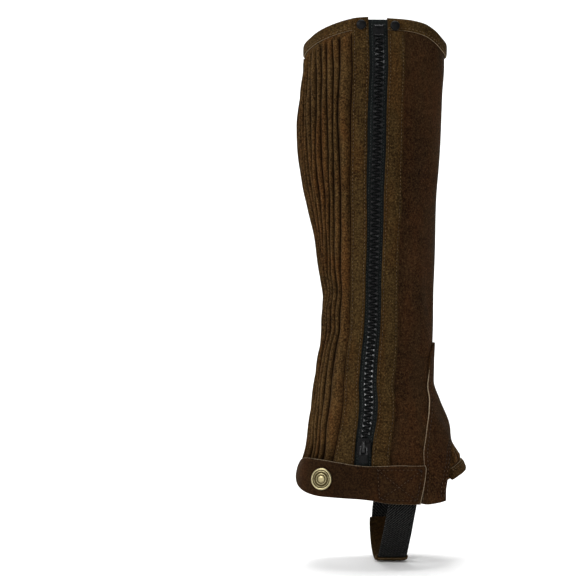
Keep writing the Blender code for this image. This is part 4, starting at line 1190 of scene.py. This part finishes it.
def band_profile():
    """Outer face, inner face and pale cut of a folded band, from its free edge round the fold.

    Each point of a face has its offset from the leg, its distance from the fold and its
    distance from the free edge, and one of the two distances is None.
    """
    outer, inner, cut = [], [], []
    for edge in RIM + (1.4, BAND_SEWING, 2.6):
        drop = dict(zip(RIM, RIM_DROP)).get(edge, 0.0)
        pinch = BAND_PINCH if edge == BAND_SEWING else 0.0
        thin = BAND_THIN * (1.0 - edge / BAND_THIN_DEPTH)
        outer.append((SECOND[1] - drop - pinch - thin, None, edge))
        inner.append((SECOND[0], None, edge))
        cut.append(dict(zip(RIM, RIM_CUT)).get(edge, 0.0))
    for depth in (7.0, 5.2, 4.2):
        outer.append((SECOND[1], depth, None))
        inner.append((SECOND[0], depth, None))
        cut.append(0.0)
    centre = (SECOND[1] + LINING_SIDE[0]) / 2
    radius = (SECOND[1] - LINING_SIDE[0]) / 2
    for step in range(FOLD_PARTS + 1):
        turn = math.pi * step / FOLD_PARTS
        outer.append((centre + radius * math.cos(turn), FOLD - FOLD * math.sin(turn), None))
        inner.append((centre + (radius - WALL) * math.cos(turn),
                      FOLD - (FOLD - WALL) * math.sin(turn) * FOLD_INNER, None))
        cut.append(0.0)
    for depth, edge in ((5.2, None), (7.0, None), (None, 2.0), (None, 0.8), (None, 0.0)):
        at_edge = edge == 0.0
        outer.append((LINING_SIDE[0] + (0.4 if at_edge else 0.0), depth, edge))
        inner.append((LINING_SIDE[1], depth, edge))
        cut.append(1.0 if at_edge else 0.0)
    return outer, inner, np.array(cut)


def folded_band(node, start, end, columns, edge, band, down, seed):
    """Suede folded over an edge, with a row of stitches by the free edge outside.

    down is 1 where the band hangs from its fold, and -1 where it stands on it.
    """
    outer, inner, cut = band_profile()
    angle = np.linspace(start, end, columns + 1)[None, :].repeat(len(outer), axis=0)

    def face(profile):
        offset = np.array([row[0] for row in profile])[:, None]
        depth = np.stack([
            np.full(angle.shape[1], row[1]) if row[1] is not None else band(angle[0]) - row[2]
            for row in profile])
        return leg(angle, edge(angle) - depth * down, offset)

    sides = ring(angle.shape, (1.0,), "lr")
    cut = BAND_PALE * np.maximum(cut[:, None] + 0.0 * angle, BAND_END_PALE * sides)
    piece = shell(f"chap_{node}", face(inner), face(outer), BROWN_SUEDE, cut=cut)
    row = level_row(lambda a: edge(a) - (band(a) - BAND_SEWING) * down,
                    (start + 0.6, end - 0.6), 0.0)
    thread = sew(node, [row], SECOND[1] - BAND_SUNK, THREAD, seed=seed)
    laid(piece, node)


def make_bindings():
    zip_end = ZIP(BOX_TOP, "tape_front")
    folded_band("top_binding", ZIP(BOX_TOP, "facing_back") + SEAM - 360.0, zip_end, 150,
                edge_round(TOP, "edge"), edge_round(TOP, "band"), 1.0, seed=6)
    folded_band("hem_lower", ZIP(TAPE_FOOT, "facing_back") + SEAM - 360.0, HEM_END, 80,
                edge_round(BOTTOM, "edge"), edge_round(BOTTOM, "band"), -1.0,
                seed=7)
    folded_band("insert_hem", -INSERT_HALF, INSERT_HALF, 40, insert_edge, same(INSERT_HEM), -1.0,
                seed=8)


# Instep

INSTEP_PALE = ((-330.0, -262.0, -246.0, -218.0, -208.0, -188.0),
               (0.6, 0.75, 1.0, 1.0, 0.15, 0.1))    # paleness of its outer raw edge, by height


def make_instep_piece():
    columns, rows = 26, 62
    outer, inner = edge_from(INSTEP, "outer"), edge_from(INSTEP, "inner", -1.0)
    notch, notch_back = edge_from(NOTCH, "half"), edge_from(NOTCH, "half", -1.0)
    near = RIM + (2.6, 3.4, 4.2)
    stitches = [edge_row(outer, (-193.0, -319.0), -3.4), edge_row(inner, (-193.0, -319.0), 3.4)]
    for edge, side in ((notch, 1.0), (notch_back, -1.0)):
        stitches.append(edge_row(edge, (-268.0, -321.0), 2.0 * side))
        stitches.append(edge_row(edge, (-270.0, -321.0), 5.0 * side))
    angle, height = panel([(outer, notch), (notch_back, inner)], same(INSTEP_TOP),
                          edge_round(BOTTOM, "edge", EDGE_SETBACK), near, RIM,
                          (columns, columns), rows)
    rim = ring(angle.shape, RIM_DROP)
    keep, _ = cut_open(height, 2 * len(near) + columns - 2, NOTCH_TOP, rim)
    cut = ring(angle.shape, RIM_CUT, "tlr")
    cut = cut * np.where(angle > 0.0, np.interp(height, *INSTEP_PALE), 1.0)
    dent = pinched(angle, height, stitches)
    piece = wall("chap_instep_piece", angle, height, SECOND, DARK_SUEDE, rim, dent, cut=cut,
                 shade=DENT_SHADE * dent, keep=keep)
    thread = sew("instep_piece", stitches, SECOND[1] - SUNK, DARK_THREAD, seed=10)
    laid(piece, "instep_piece")


def make_hem_instep():
    bottom = edge_round(BOTTOM, "edge", -EDGE_SETBACK)

    def top(angle):
        return bottom(angle) + HEM_INSTEP_BAND

    rows = [level_row(top, (-69.0, -49.5), -1.8)]
    strip = (same(HEM_INSTEP_BACK), edge_from(NOTCH, "half", -1.0, -SEAM / 2))
    piece = suede_piece("chap_hem_instep", strip, top, bottom, THIRD, BROWN_SUEDE, rows, RIM,
                        RIM + (1.8, 2.6), 10, 8, cut="t")
    thread = sew("hem_instep", rows, THIRD[1] - SUNK, THREAD, seed=9)
    laid(piece, "hem_instep")


INSERT_POINTS = 8       # points across one rib of the gusset
INSERT_BED = 0.4        # how far its grooves lie under its face
INSERT_HIDDEN = 0.3     # and how far its covered parts do
INSERT_FULL = 1.7       # how much fuller it is beside its hem
INSERT_FULL_DEPTH = 16.0        # and how far up that goes


def make_insert():
    """Ribbed elastic gusset, whose ribs fan out to the toe."""
    rows, rounds = 44, 8
    columns = INSERT_RIBS * INSERT_POINTS
    shares = np.linspace(0.0, 1.0, columns + 1)[None, :]
    down = np.linspace(0.0, 1.0, rows + 1)[:, None]
    angle = np.zeros((rows + 1, columns + 1))
    for _ in range(rounds):
        low = insert_edge(angle) + WALL + GAP
        height = NOTCH_TOP + (low - NOTCH_TOP) * down
        half = NOTCH(height, "half") + INSERT_OVERLAP
        angle = half - 2 * half * shares
    wave = np.linspace(0.0, INSERT_RIBS, columns + 1)[None, :]
    crest = np.clip(1.0 - (2.0 * (wave % 1.0) - 1.0) ** 2, 0.0, 1.0) ** 0.6
    swell = 1.0 + 0.2 * np.sin(height / 5.0 + np.floor(wave) * 1.9)
    above = height - insert_edge(angle) - INSERT_HEM
    shown = np.clip((half - INSERT_OVERLAP - np.abs(angle)) / 4.0 - 0.4, 0.0, 1.0)
    shown = shown * np.clip(above / 2.5, 0.0, 1.0)
    full = INSERT_FULL * np.clip(1.0 - above / INSERT_FULL_DEPTH, 0.0, 1.0)
    relief = ((INSERT_RIB_HEIGHT * swell * crest - INSERT_BED + full) * shown
              - INSERT_HIDDEN * (1.0 - shown))
    piece = shell("chap_instep_insert", leg(angle, height, BASE[0]),
                  leg(angle, height, BASE[1] + relief), RIBBED_SUEDE,
                  shade=(1.0 - crest) * shown, smooth=80.0)
    laid(piece, "instep_insert")


# Strap and anchor patch

STRAP_SLANT_DROP = 28.0     # height over which the strap's sewn end slants
STRAP_BOX = ((65.2, -297.6), (72.2, -323.4), (96.0, -321.6), (96.0, -296.8))
STRAP_RISE = (13.0, 28.0)   # the lift starts so many degrees before the snap, and takes so many
STRAP_FALL = (15.0, 22.0)   # it fades so many degrees past the snap, over so many
STRAP_FALL_SHARE = 0.8
STRAP_WORN = ((166.0, 12.0), (78.0, 17.0))      # angle and spread of its lighter, rubbed places
STRAP_SUNK = 0.3
ANCHOR_SEWING = 2.4


def strap_lift(angle):
    """How far the strap stands off the leg: most behind the snap, less at its tip."""
    before, rise_length = STRAP_RISE
    past, fall_length = STRAP_FALL
    rise = eased(np.clip((angle - SNAP_PLACE[0] + before) / rise_length, 0.0, 1.0))
    fall = eased(np.clip((angle - SNAP_PLACE[0] - past) / fall_length, 0.0, 1.0))
    return STRAP_LIFT * rise * (1.0 - STRAP_FALL_SHARE * fall)


def make_strap():
    sewn_end, tip = STRAP_ENDS

    def slanted(height):
        down = np.clip((STRAP_LEVEL - height) / STRAP_SLANT_DROP, 0.0, 1.0)
        return sewn_end + STRAP_SLANT * down

    rows = crossed_box(STRAP_BOX)
    angle, height = panel([(slanted, same(tip))], edge_from(STRAP, "upper"),
                          edge_from(STRAP, "lower"), RIM, RIM + (2.2, 3.0), (110,), 14)
    shape = angle.shape
    dent = pinched(angle, height, rows)
    worn = sum(np.exp(-((angle - middle) / spread) ** 2) for middle, spread in STRAP_WORN)
    pale = (0.6 * ring(shape, RIM_CUT) + 0.5 * ring(shape, RIM_CUT, "l")
            + 0.55 * ring(shape, (0.0, 1.0, 0.15), "l") + 0.3 * ring(shape, (0.0, 1.0, 0.0), "t"))
    piece = wall("chap_snap_strap", angle, height, THIRD, DARK_SUEDE, ring(shape, RIM_DROP), dent,
                 strap_lift(angle), cut=pale, shade=0.5 - 0.3 * worn + DENT_SHADE * dent)
    thread = sew("snap_strap", rows, THIRD[1] - STRAP_SUNK, DARK_THREAD, pitch=3.3, length=2.1,
                 seed=11)
    laid(piece, "snap_strap")


def make_anchor():
    top, foot = ANCHOR_TOP - ANCHOR_SEWING, ANCHOR_FOOT + ANCHOR_SEWING
    rows = crossed_box(((-86.0, top), (-64.4, top), (-70.2, foot), (-88.6, foot)))
    near = RIM + (ANCHOR_SEWING, 3.2)
    strip = (edge_from(ANCHOR, "back"), edge_from(ANCHOR, "front"))
    piece = suede_piece("chap_anchor_patch", strip, same(ANCHOR_TOP), same(ANCHOR_FOOT), THIRD,
                        DARK_SUEDE, rows, near, near, 16, 20, pale=0.6)
    thread = sew("anchor_patch", rows, THIRD[1] - SUNK, TAN_THREAD, pitch=3.6, length=2.6,
                 seed=12)
    laid(piece, "anchor_patch")


# Stirrup

SELVAGE = 2.2           # width of the webbing's plain edges
WEBBING_RIB = 2.5       # width of one of its ribs
WEBBING_RIB_HEIGHT = 0.14
SLEEVE_PALE = 0.4       # how much of the pale cut the sleeve's ends show
SLEEVE_RIM = 0.6        # how far their rims are rounded, as a share of the flat pieces' rims
SLEEVE_RIPPLE = 0.18


def wall_depth(x, height, offset):
    """How far out the leg's wall lies at a place along the foot."""
    back, front = LEG(height, "back"), LEG(height, "front")
    cosine = (x - (back + front) / 2) / ((front - back) / 2 + offset)
    sine = np.sqrt(1.0 - cosine * cosine)
    return (LEG(height, "depth") + offset) * sine * (1 - SHIN_TAPER * cosine)


def stirrup_point(length, across, out):
    """Points of the elastic: across runs from its back edge to its front edge."""
    length, across, out = np.broadcast_arrays(
        np.asarray(length, float), np.asarray(across, float), np.asarray(out, float))

    def place(at, side):
        back, front = STIRRUP(at, "back_x"), STIRRUP(at, "front_x")
        height, spread = STIRRUP(at, "height"), STIRRUP(at, "spread")
        x = back + (front - back) * side
        offset = np.where(spread < 0, ELASTIC_OUTER, ELASTIC_INNER)
        return np.stack([x, wall_depth(x, height, offset) * spread, height], axis=-1)

    along = place(length + 0.5, across) - place(length - 0.5, across)
    wide = place(length, across * 0.0 + 1.0) - place(length, across * 0.0)
    normal = unit(np.cross(along, wide))
    return (place(length, across) - normal * out[..., None]) * MM


def make_stirrup():
    """Elastic webbing with ribs along it, and a plain selvage at each side."""
    rows, columns = 260, 40
    length = np.linspace(0.0, STIRRUP_LENGTH, rows + 1)[:, None].repeat(columns + 1, axis=1)
    across = np.linspace(0.0, 1.0, columns + 1)[None, :].repeat(rows + 1, axis=0)
    edge = np.minimum(across, 1.0 - across) * ELASTIC_WIDTH
    rib = WEBBING_RIB_HEIGHT * np.sin(across * ELASTIC_WIDTH * math.tau / WEBBING_RIB)
    rib = rib * (edge / SELVAGE > 0.99)
    thick = ELASTIC_THICK / 2 * (0.62 + 0.3 * np.sqrt(np.clip(edge / 1.2, 0.0, 1.0))) + rib
    pattern = np.stack([across * ELASTIC_WIDTH * MM, length * MM], axis=-1)
    piece = shell("stirrup_webbing", stirrup_point(length, across, -thick),
                  stirrup_point(length, across, thick), WEBBING, pattern=pattern)
    laid(piece, "stirrup_elastic")


def make_sleeve():
    """A flat tube of suede round the elastic, with cut ends."""
    rows, half_turn = 30, 26
    start, end = SLEEVE_SPAN
    turn = np.arange(2 * half_turn + 1) % (2 * half_turn)
    bend = turn / half_turn * math.pi
    side = np.sign(np.cos(bend)) * np.abs(np.cos(bend)) ** 0.35
    face = np.sign(np.sin(bend)) * np.abs(np.sin(bend)) ** 0.5
    length = (start + marks(end - start, RIM, rows))[:, None] + 0.0 * turn
    drop = SLEEVE_RIM * ring(length.shape, RIM_DROP, "tb")

    def tube(grow):
        half_width = 0.5 + (SLEEVE_CLEAR + grow) / ELASTIC_WIDTH
        half_thick = ELASTIC_THICK / 2 + SLEEVE_CLEAR + grow
        ripple = SLEEVE_RIPPLE * np.sin(length / 2.6 + turn * 0.5) * (grow > 0.0)
        return stirrup_point(length, 0.5 + side * half_width, face * half_thick + face * ripple)

    inner, outer = tube(0.0), tube(SLEEVE_WALL)
    outer = outer + (inner - outer) * (drop / SLEEVE_WALL)[..., None]
    piece = shell("stirrup_sleeve_tube", inner, outer, BROWN_SUEDE,
                  cut=SLEEVE_PALE * ring(length.shape, RIM_CUT, "tb"),
                  shade=0.6 * (face + 0.0 * length > 0.2), tube=True)
    laid(piece, "stirrup_sleeve")


# Zip

TAPE_BEAD = (0.35, 4.7, 0.45)       # height, place from the centre line and width of its cord
TAPE_GROOVE = (0.1, 6.0, 0.4)       # and depth, place and width of the groove beside it
TAPE_SHUT = 0.05                    # half the gap between the tapes where the zip is shut
SLIDER_REACH = 6.0                  # how far above the slider's middle that starts
FIRST_TOOTH = 1.6                   # from the chain's top to the middle of its first tooth
TOOTH_TILT = 2.5                    # how far a tooth may lean, in degrees
TOOTH_LEAST = 0.22                  # how rubbed every tooth is
TOOTH_RUBBED = ((1.1, -228.0, 46.0), (0.7, 57.0, 8.0))      # more, at a height, over a spread


def make_tapes():
    rows, columns, rounds = 170, 16, 4
    share = np.linspace(0.0, 1.0, columns + 1)[None, :] + np.zeros((rows + 1, 1))
    down = np.linspace(0.0, 1.0, rows + 1)[:, None] + 0.0 * share
    top_back, top_front = ZIP(TAPE_TOP, "tape_back"), ZIP(TAPE_TOP, "tape_front")
    half, middle = (top_back - top_front) / 2, (top_back + top_front) / 2
    for name, line, side in (("zip_tape_back", "tape_back", 1.0),
                             ("zip_tape_front", "tape_front", -1.0)):
        angle = np.full(share.shape, 90.0)
        for _ in range(rounds):
            covered = np.abs(angle[:1] - middle) > half + 1.0
            top = np.where(covered, TAPE_TOP - TAPE_DROP, TAPE_TOP)
            height = top + (TAPE_FOOT - top) * down
            spread = np.where(height > SLIDER_HEIGHT + SLIDER_REACH, TAPE_SHUT,
                              TAPE_SPREAD(height, "half"))
            inner = shifted(ZIP(height, "centre"), height, side * spread)
            outer = ZIP(height, line) + side * TAPE_TUCK
            angle = inner + (outer - inner) * share
        across = np.abs(angle - ZIP(height, "centre")) * degree(angle, height)
        bead, groove = (size * np.exp(-((across - place) / width) ** 2)
                        for size, place, width in (TAPE_BEAD, TAPE_GROOVE))
        pattern = np.stack([across * MM, height * MM], axis=-1)
        piece = shell(f"chap_{name}", leg(angle, height, TAPE[0]),
                      leg(angle, height, TAPE[1] + (bead - groove)), ZIP_TAPE, pattern=pattern)
        heights = np.linspace(TAPE_TOP - 3.0, -300.0, 300)
        row = evenly(shifted(ZIP(heights, "centre"), heights, side * TAPE_SEWING), heights)
        thread = sew(name, [row], TAPE[1] + 0.05, TAPE_THREAD, pitch=2.5, length=1.5, width=0.5,
                     rise=0.25, seed=13)
        laid(piece, name)


def tooth_template():
    """One moulded tooth, pointing along +X from the tape: a pitched pad, a neck and a head."""
    bm = bmesh.new()
    profile = [
        # along the tooth, half width, height of its face
        (-4.2, 1.3, 1.6), (-3.9, 1.75, 2.05), (-2.9, 1.4, 2.25), (-1.4, 0.62, 1.75),
        (-0.1, 0.58, 1.7), (0.45, 1.0, 1.75), (1.15, 0.95, 1.7), (1.5, 0.5, 1.45)]
    loops = []
    for x, half, face in profile:
        section = [(-half, 0.0), (half, 0.0), (half, face - 0.55),
                   (half * 0.55, face), (-half * 0.55, face), (-half, face - 0.55)]
        verts = [bm.verts.new(Vector((x, y, z)) * MM) for y, z in section]
        loops.append([bm.edges.new((verts[k], verts[(k + 1) % 6])) for k in range(6)])
    for before, after in zip(loops, loops[1:]):
        bmesh.ops.bridge_loops(bm, edges=before + after)
    bmesh.ops.contextual_create(bm, geom=loops[0])
    bmesh.ops.contextual_create(bm, geom=loops[-1])
    bmesh.ops.recalc_face_normals(bm, faces=bm.faces[:])
    return as_template(bm)


def make_teeth():
    """Two rows of teeth that point at each other, and are rubbed bright at two heights."""
    template = tooth_template()
    random.seed(21)
    places, shares = [], []
    for side in (1.0, -1.0):
        height = CHAIN_TOP - FIRST_TOOTH - (0.0 if side > 0 else TOOTH_PITCH / 2)
        while height > CHAIN_FOOT:
            centre = ZIP(height, "centre")
            lift = CHAIN[0] + float(crease(centre, height))
            place = leg_frame(float(centre), height, 0.0) @ Matrix.Translation((0, 0, lift * MM))
            if side < 0:
                place = place @ Matrix.Rotation(math.pi, 4, "Z")
            tilt = math.radians(random.uniform(-TOOTH_TILT, TOOTH_TILT))
            places.append(place @ Matrix.Rotation(tilt, 4, "X"))
            rubbed = sum((size * math.exp(-((height - middle) / spread) ** 2)
                          for size, middle, spread in TOOTH_RUBBED), TOOTH_LEAST)
            shares.append(min(1.0, rubbed * random.uniform(0.35, 1.0)))
            height -= TOOTH_PITCH
    points = template[0]
    polish = (points[:, 2] > 1.4 * MM) & (points[:, 0] < -1.0 * MM)
    teeth = joined("zip_teeth", template, places, PLASTIC, smooth=35.0, polish=polish,
                   shares=shares)
    stands_for(teeth, "zip_chain")


def block(bm, size, centre, bevel, polish):
    """A box of a size in millimetres, with its edges rounded, added to the mesh."""
    layer = bm.verts.layers.float["polish"]
    made = bmesh.ops.create_cube(bm, size=1.0)["verts"]
    for vert in made:
        vert[layer] = polish
    bmesh.ops.scale(bm, vec=Vector(size) * MM, verts=made)
    bmesh.ops.translate(bm, vec=Vector(centre) * MM, verts=made)
    edges = list({edge for vert in made for edge in vert.link_edges})
    bmesh.ops.bevel(bm, geom=edges, offset=bevel * MM, offset_type="OFFSET", segments=3,
                    profile=0.5, affect="EDGES", material=-1, clamp_overlap=True)


def moulded_piece(name, node, at, blocks, body="chap"):
    """Moulded blocks in one mesh, each with its size, centre, rounding and polish."""
    bm = bmesh.new()
    bm.verts.layers.float.new("polish")
    for size, centre, bevel, polish in blocks:
        block(bm, size, centre, bevel, polish)
    bmesh.ops.transform(bm, matrix=at, verts=bm.verts[:])
    stands_for(finish_mesh(name, bm, PLASTIC, body, smooth=40.0), node)


def make_zip_box():
    middle = (BOX_TOP + CHAIN_TOP + GAP) / 2
    length = BOX_TOP - CHAIN_TOP - GAP
    at = leg_frame(float(ZIP(middle, "centre")), middle, CHAIN[0])
    rise = CHAIN[1] + BOX_RISE - CHAIN[0]
    blocks = [
        # size and centre of each block, round, along and out, its rounding and its polish
        ((BOX_WIDTH, length, rise * 0.8), (0.0, 0.0, rise * 0.4), 0.5, 0.0),
        ((BOX_WIDTH - 1.4, 0.9, rise), (0.0, length / 2 - 0.8, rise / 2), 0.3, 0.5),
        ((BOX_WIDTH - 1.4, 0.9, rise), (0.0, 0.8 - length / 2, rise / 2), 0.3, 0.4),
        ((5.0, length - 4.6, rise * 0.9), (0.0, 0.0, rise * 0.45), 0.4, 0.0)]
    moulded_piece("zip_end_box", "zip_box", at, blocks)


def make_slider():
    """The slider with its bail, and the pull tab that hangs from it."""
    centre = float(ZIP(SLIDER_HEIGHT, "centre"))
    slider = [
        # size and centre of each block, round, along and out, its rounding and its polish
        ((12.2, 11.0, 1.0), (0.0, -1.9, 4.6), 0.45, 0.0),
        ((9.4, 5.4, 1.0), (0.0, 4.7, 4.6), 0.45, 0.0),
        ((1.2, 11.0, 2.3), (5.5, -1.9, 3.6), 0.4, 0.1),
        ((1.2, 11.0, 2.3), (-5.5, -1.9, 3.6), 0.4, 0.1),
        ((11.0, 14.0, 1.1), (0.0, 0.0, -0.6), 0.45, 0.0),
        ((3.2, 2.6, 5.4), (0.0, -5.6, 2.0), 0.5, 0.0),
        ((2.8, 1.9, 3.5), (0.0, 4.0, 6.5), 0.5, 0.3),
        ((2.8, 1.9, 3.5), (0.0, -4.0, 6.5), 0.5, 0.3),
        ((2.9, 9.9, 1.2), (0.0, 0.0, 8.5), 0.5, 0.25)]
    moulded_piece("zip_slider_body", "zip_slider", leg_frame(centre, SLIDER_HEIGHT, 0.0), slider)
    tab = [
        ((7.4, 7.8, 1.1), (0.0, -10.3, 0.0), 0.5, 0.0),
        ((5.2, 5.4, 1.35), (0.0, -10.3, 0.0), 0.3, 0.0),
        ((1.8, 8.0, 1.2), (2.8, -3.2, 0.0), 0.5, 0.3),
        ((1.8, 8.0, 1.2), (-2.8, -3.2, 0.0), 0.5, 0.3),
        ((5.8, 1.5, 1.5), (0.0, 0.0, 0.0), 0.6, 0.3)]
    moulded_piece("zip_pull_tab", "zip_pull", leg_frame(centre, SLIDER_HEIGHT, PIN_RISE), tab,
                  body="pull")


# Caps

STUD_EDGE = 1.0         # height of a stud's edge
STUD_RISE = 1.5         # and of its dome above that
STUD_STEPS = 8
STUD_RIM_POLISH = 0.3
SNAP_SINK = 0.25        # how far the snap presses into the strap


def turned(name, node, at, profile, material, mark, steps=64):
    """A cap turned about the frame's Z axis, from the radius, height and mark of its rings.

    mark names what their third value says: how polished they are, or how deep they lie.
    """
    bm = bmesh.new()
    layer = bm.verts.layers.float.new(mark)
    verts = []
    for radius, rise, value in profile:
        vert = bm.verts.new((radius * MM, 0.0, rise * MM))
        vert[layer] = value
        verts.append(vert)
    edges = [bm.edges.new(pair) for pair in zip(verts, verts[1:])]
    bmesh.ops.spin(bm, geom=verts + edges, cent=(0, 0, 0), axis=(0, 0, 1), angle=math.tau,
                   steps=steps, use_merge=True)
    bmesh.ops.remove_doubles(bm, verts=bm.verts[:], dist=1e-6)
    bmesh.ops.transform(bm, matrix=at, verts=bm.verts[:])
    stands_for(finish_mesh(name, bm, material, smooth=45.0), node)


def make_caps():
    stud = STUD_DIAMETER / 2
    dome = [(0.0, 0.0, STUD_RIM_POLISH), (stud - 0.5, 0.0, STUD_RIM_POLISH),
            (stud, 0.5, STUD_RIM_POLISH)]
    for step in range(STUD_STEPS):
        turn = math.pi / 2 * step / STUD_STEPS
        dome.append((stud * math.cos(turn) ** 0.8, STUD_EDGE + STUD_RISE * math.sin(turn), 0.0))
    dome.append((0.0, STUD_EDGE + STUD_RISE, 0.0))
    for name, angle, height in STUD_PLACES:
        at = leg_frame(angle, height, SECOND[1] + CAP_SEAT)
        turned(f"{name}_cap", name, at, dome, PLASTIC, "polish")
    snap = SNAP_DIAMETER / 2
    profile = [
        # radius, height and how deep in a recess each ring of the cap lies
        (0.0, 0.0, 0), (snap - 0.7, 0.0, 0.3), (snap - 0.1, 0.5, 0.2), (snap, 1.1, 0.1),
        (snap - 0.15, 1.7, 0), (snap - 0.6, 2.15, 0), (snap - 1.2, 2.2, 0), (snap - 1.6, 1.9, 0.4),
        (snap - 1.9, 1.55, 1), (snap - 2.3, 1.55, 1), (snap - 2.5, 1.8, 0.3), (snap - 2.8, 1.85, 0),
        (snap - 3.0, 1.6, 0.8), (snap - 4.6, 1.62, 0.7), (snap - 4.8, 1.85, 0.2),
        (snap - 5.2, 1.9, 0), (snap - 5.4, 1.65, 0.8), (snap - 6.2, 1.7, 0.6),
        (snap - 7.2, 2.0, 0.2), (snap - 8.4, 2.15, 0), (0.0, 2.2, 0)]
    seat = THIRD[1] + CAP_SEAT + float(strap_lift(SNAP_PLACE[0])) - SNAP_SINK
    at = leg_frame(*SNAP_PLACE, seat) @ Matrix.Rotation(math.radians(SNAP_TURN), 4, "Y")
    turned("snap_cap", "snap_button", at, profile, BRASS, "recess", steps=96)


make_main_panel()
make_ribbed_panel()
make_back_strip()
make_calf_patch()
make_facings()
make_bindings()
make_instep_piece()
make_hem_instep()
make_insert()
make_strap()
make_anchor()
make_stirrup()
make_sleeve()
make_tapes()
make_teeth()
make_zip_box()
make_slider()
make_caps()


# Floor, light and camera, in metres

FLOOR_GAP = 0.0006      # between the stirrup and the floor
FLOOR_HALF_WIDTH = 4.0
FLOOR_FRONT = -3.0
CURVE_START = 1.2       # where the floor starts to curve up
CURVE_RADIUS = 0.8
CURVE_STEPS = 12
BACKDROP_TOP = 3.5
MIDDLE = (0.0, 0.0, -0.14)      # middle of the half chap, which most lights face
LIGHTS = [
    # name, place, target, size, power
    ("key", (-1.35, -1.15, 0.75), MIDDLE, 0.6, 24.0),
    ("fill", (0.9, -1.7, 0.3), MIDDLE, 0.9, 4.0),
    ("glint_low", (-0.265, -1.66, -0.09), MIDDLE, 0.2, 2.6),
    ("glint_high", (-0.2, -1.66, 0.22), MIDDLE, 0.1, 0.5),
    ("wall", (0.0, 0.5, 2.2), (0.0, 1.7, -0.2), 1.6, 70.0)]
SKY = 0.3
CAMERA_PLACE = (-0.078, -1.6, -0.14)
CAMERA_LENS = 112.7     # and the sensor's width, both in millimetres
CAMERA_SENSOR = 36.0


def make_floor():
    """A pale floor that curves up behind."""
    ground = cad_low.z - FLOOR_GAP
    outline = [(FLOOR_FRONT, 0.0)]
    for step in range(CURVE_STEPS + 1):
        turn = math.pi / 2 * step / CURVE_STEPS
        outline.append((CURVE_START + CURVE_RADIUS * math.sin(turn),
                        CURVE_RADIUS - CURVE_RADIUS * math.cos(turn)))
    outline.append((CURVE_START + CURVE_RADIUS, BACKDROP_TOP))
    bm = bmesh.new()
    verts = [bm.verts.new((-FLOOR_HALF_WIDTH, y, ground + z)) for y, z in outline]
    edges = [bm.edges.new(pair) for pair in zip(verts, verts[1:])]
    side = bmesh.ops.extrude_edge_only(bm, edges=edges)["geom"]
    bmesh.ops.translate(bm, vec=(2 * FLOOR_HALF_WIDTH, 0.0, 0.0),
                        verts=[v for v in side if isinstance(v, bmesh.types.BMVert)])
    mesh = bpy.data.meshes.new("floor")
    bm.to_mesh(mesh)
    bm.free()
    mesh.shade_smooth()
    material, _, shader = new_material("pale floor", 0.9, specular=0.1)
    shader.inputs["Base Color"].default_value = (0.92, 0.92, 0.92, 1.0)
    mesh.materials.append(material)
    floor = bpy.data.objects.new("floor", mesh)
    bpy.context.scene.collection.objects.link(floor)


def make_lights():
    """Soft lights, and an even sky."""
    for name, place, target, size, power in LIGHTS:
        lamp = bpy.data.lights.new(name, "AREA")
        lamp.shape = "DISK"
        lamp.size = size
        lamp.energy = power
        holder = bpy.data.objects.new(name, lamp)
        holder.location = place
        holder.rotation_mode = "QUATERNION"
        holder.rotation_quaternion = (Vector(target) - Vector(place)).to_track_quat("-Z", "Y")
        bpy.context.scene.collection.objects.link(holder)
    world = bpy.data.worlds.new("studio")
    world.use_nodes = True
    background = world.node_tree.nodes["Background"].inputs
    background["Color"].default_value = (1.0, 1.0, 1.0, 1.0)
    background["Strength"].default_value = SKY
    bpy.context.scene.world = world


def make_camera():
    """The camera in front of the zip."""
    camera = bpy.data.objects.new("camera", bpy.data.cameras.new("camera"))
    camera.data.lens = CAMERA_LENS
    camera.data.sensor_width = CAMERA_SENSOR
    camera.location = CAMERA_PLACE
    camera.rotation_euler = (math.pi / 2, 0.0, 0.0)
    bpy.context.scene.collection.objects.link(camera)
    bpy.context.scene.camera = camera
    bpy.context.scene.view_settings.view_transform = "Standard"


make_floor()
make_lights()
make_camera()
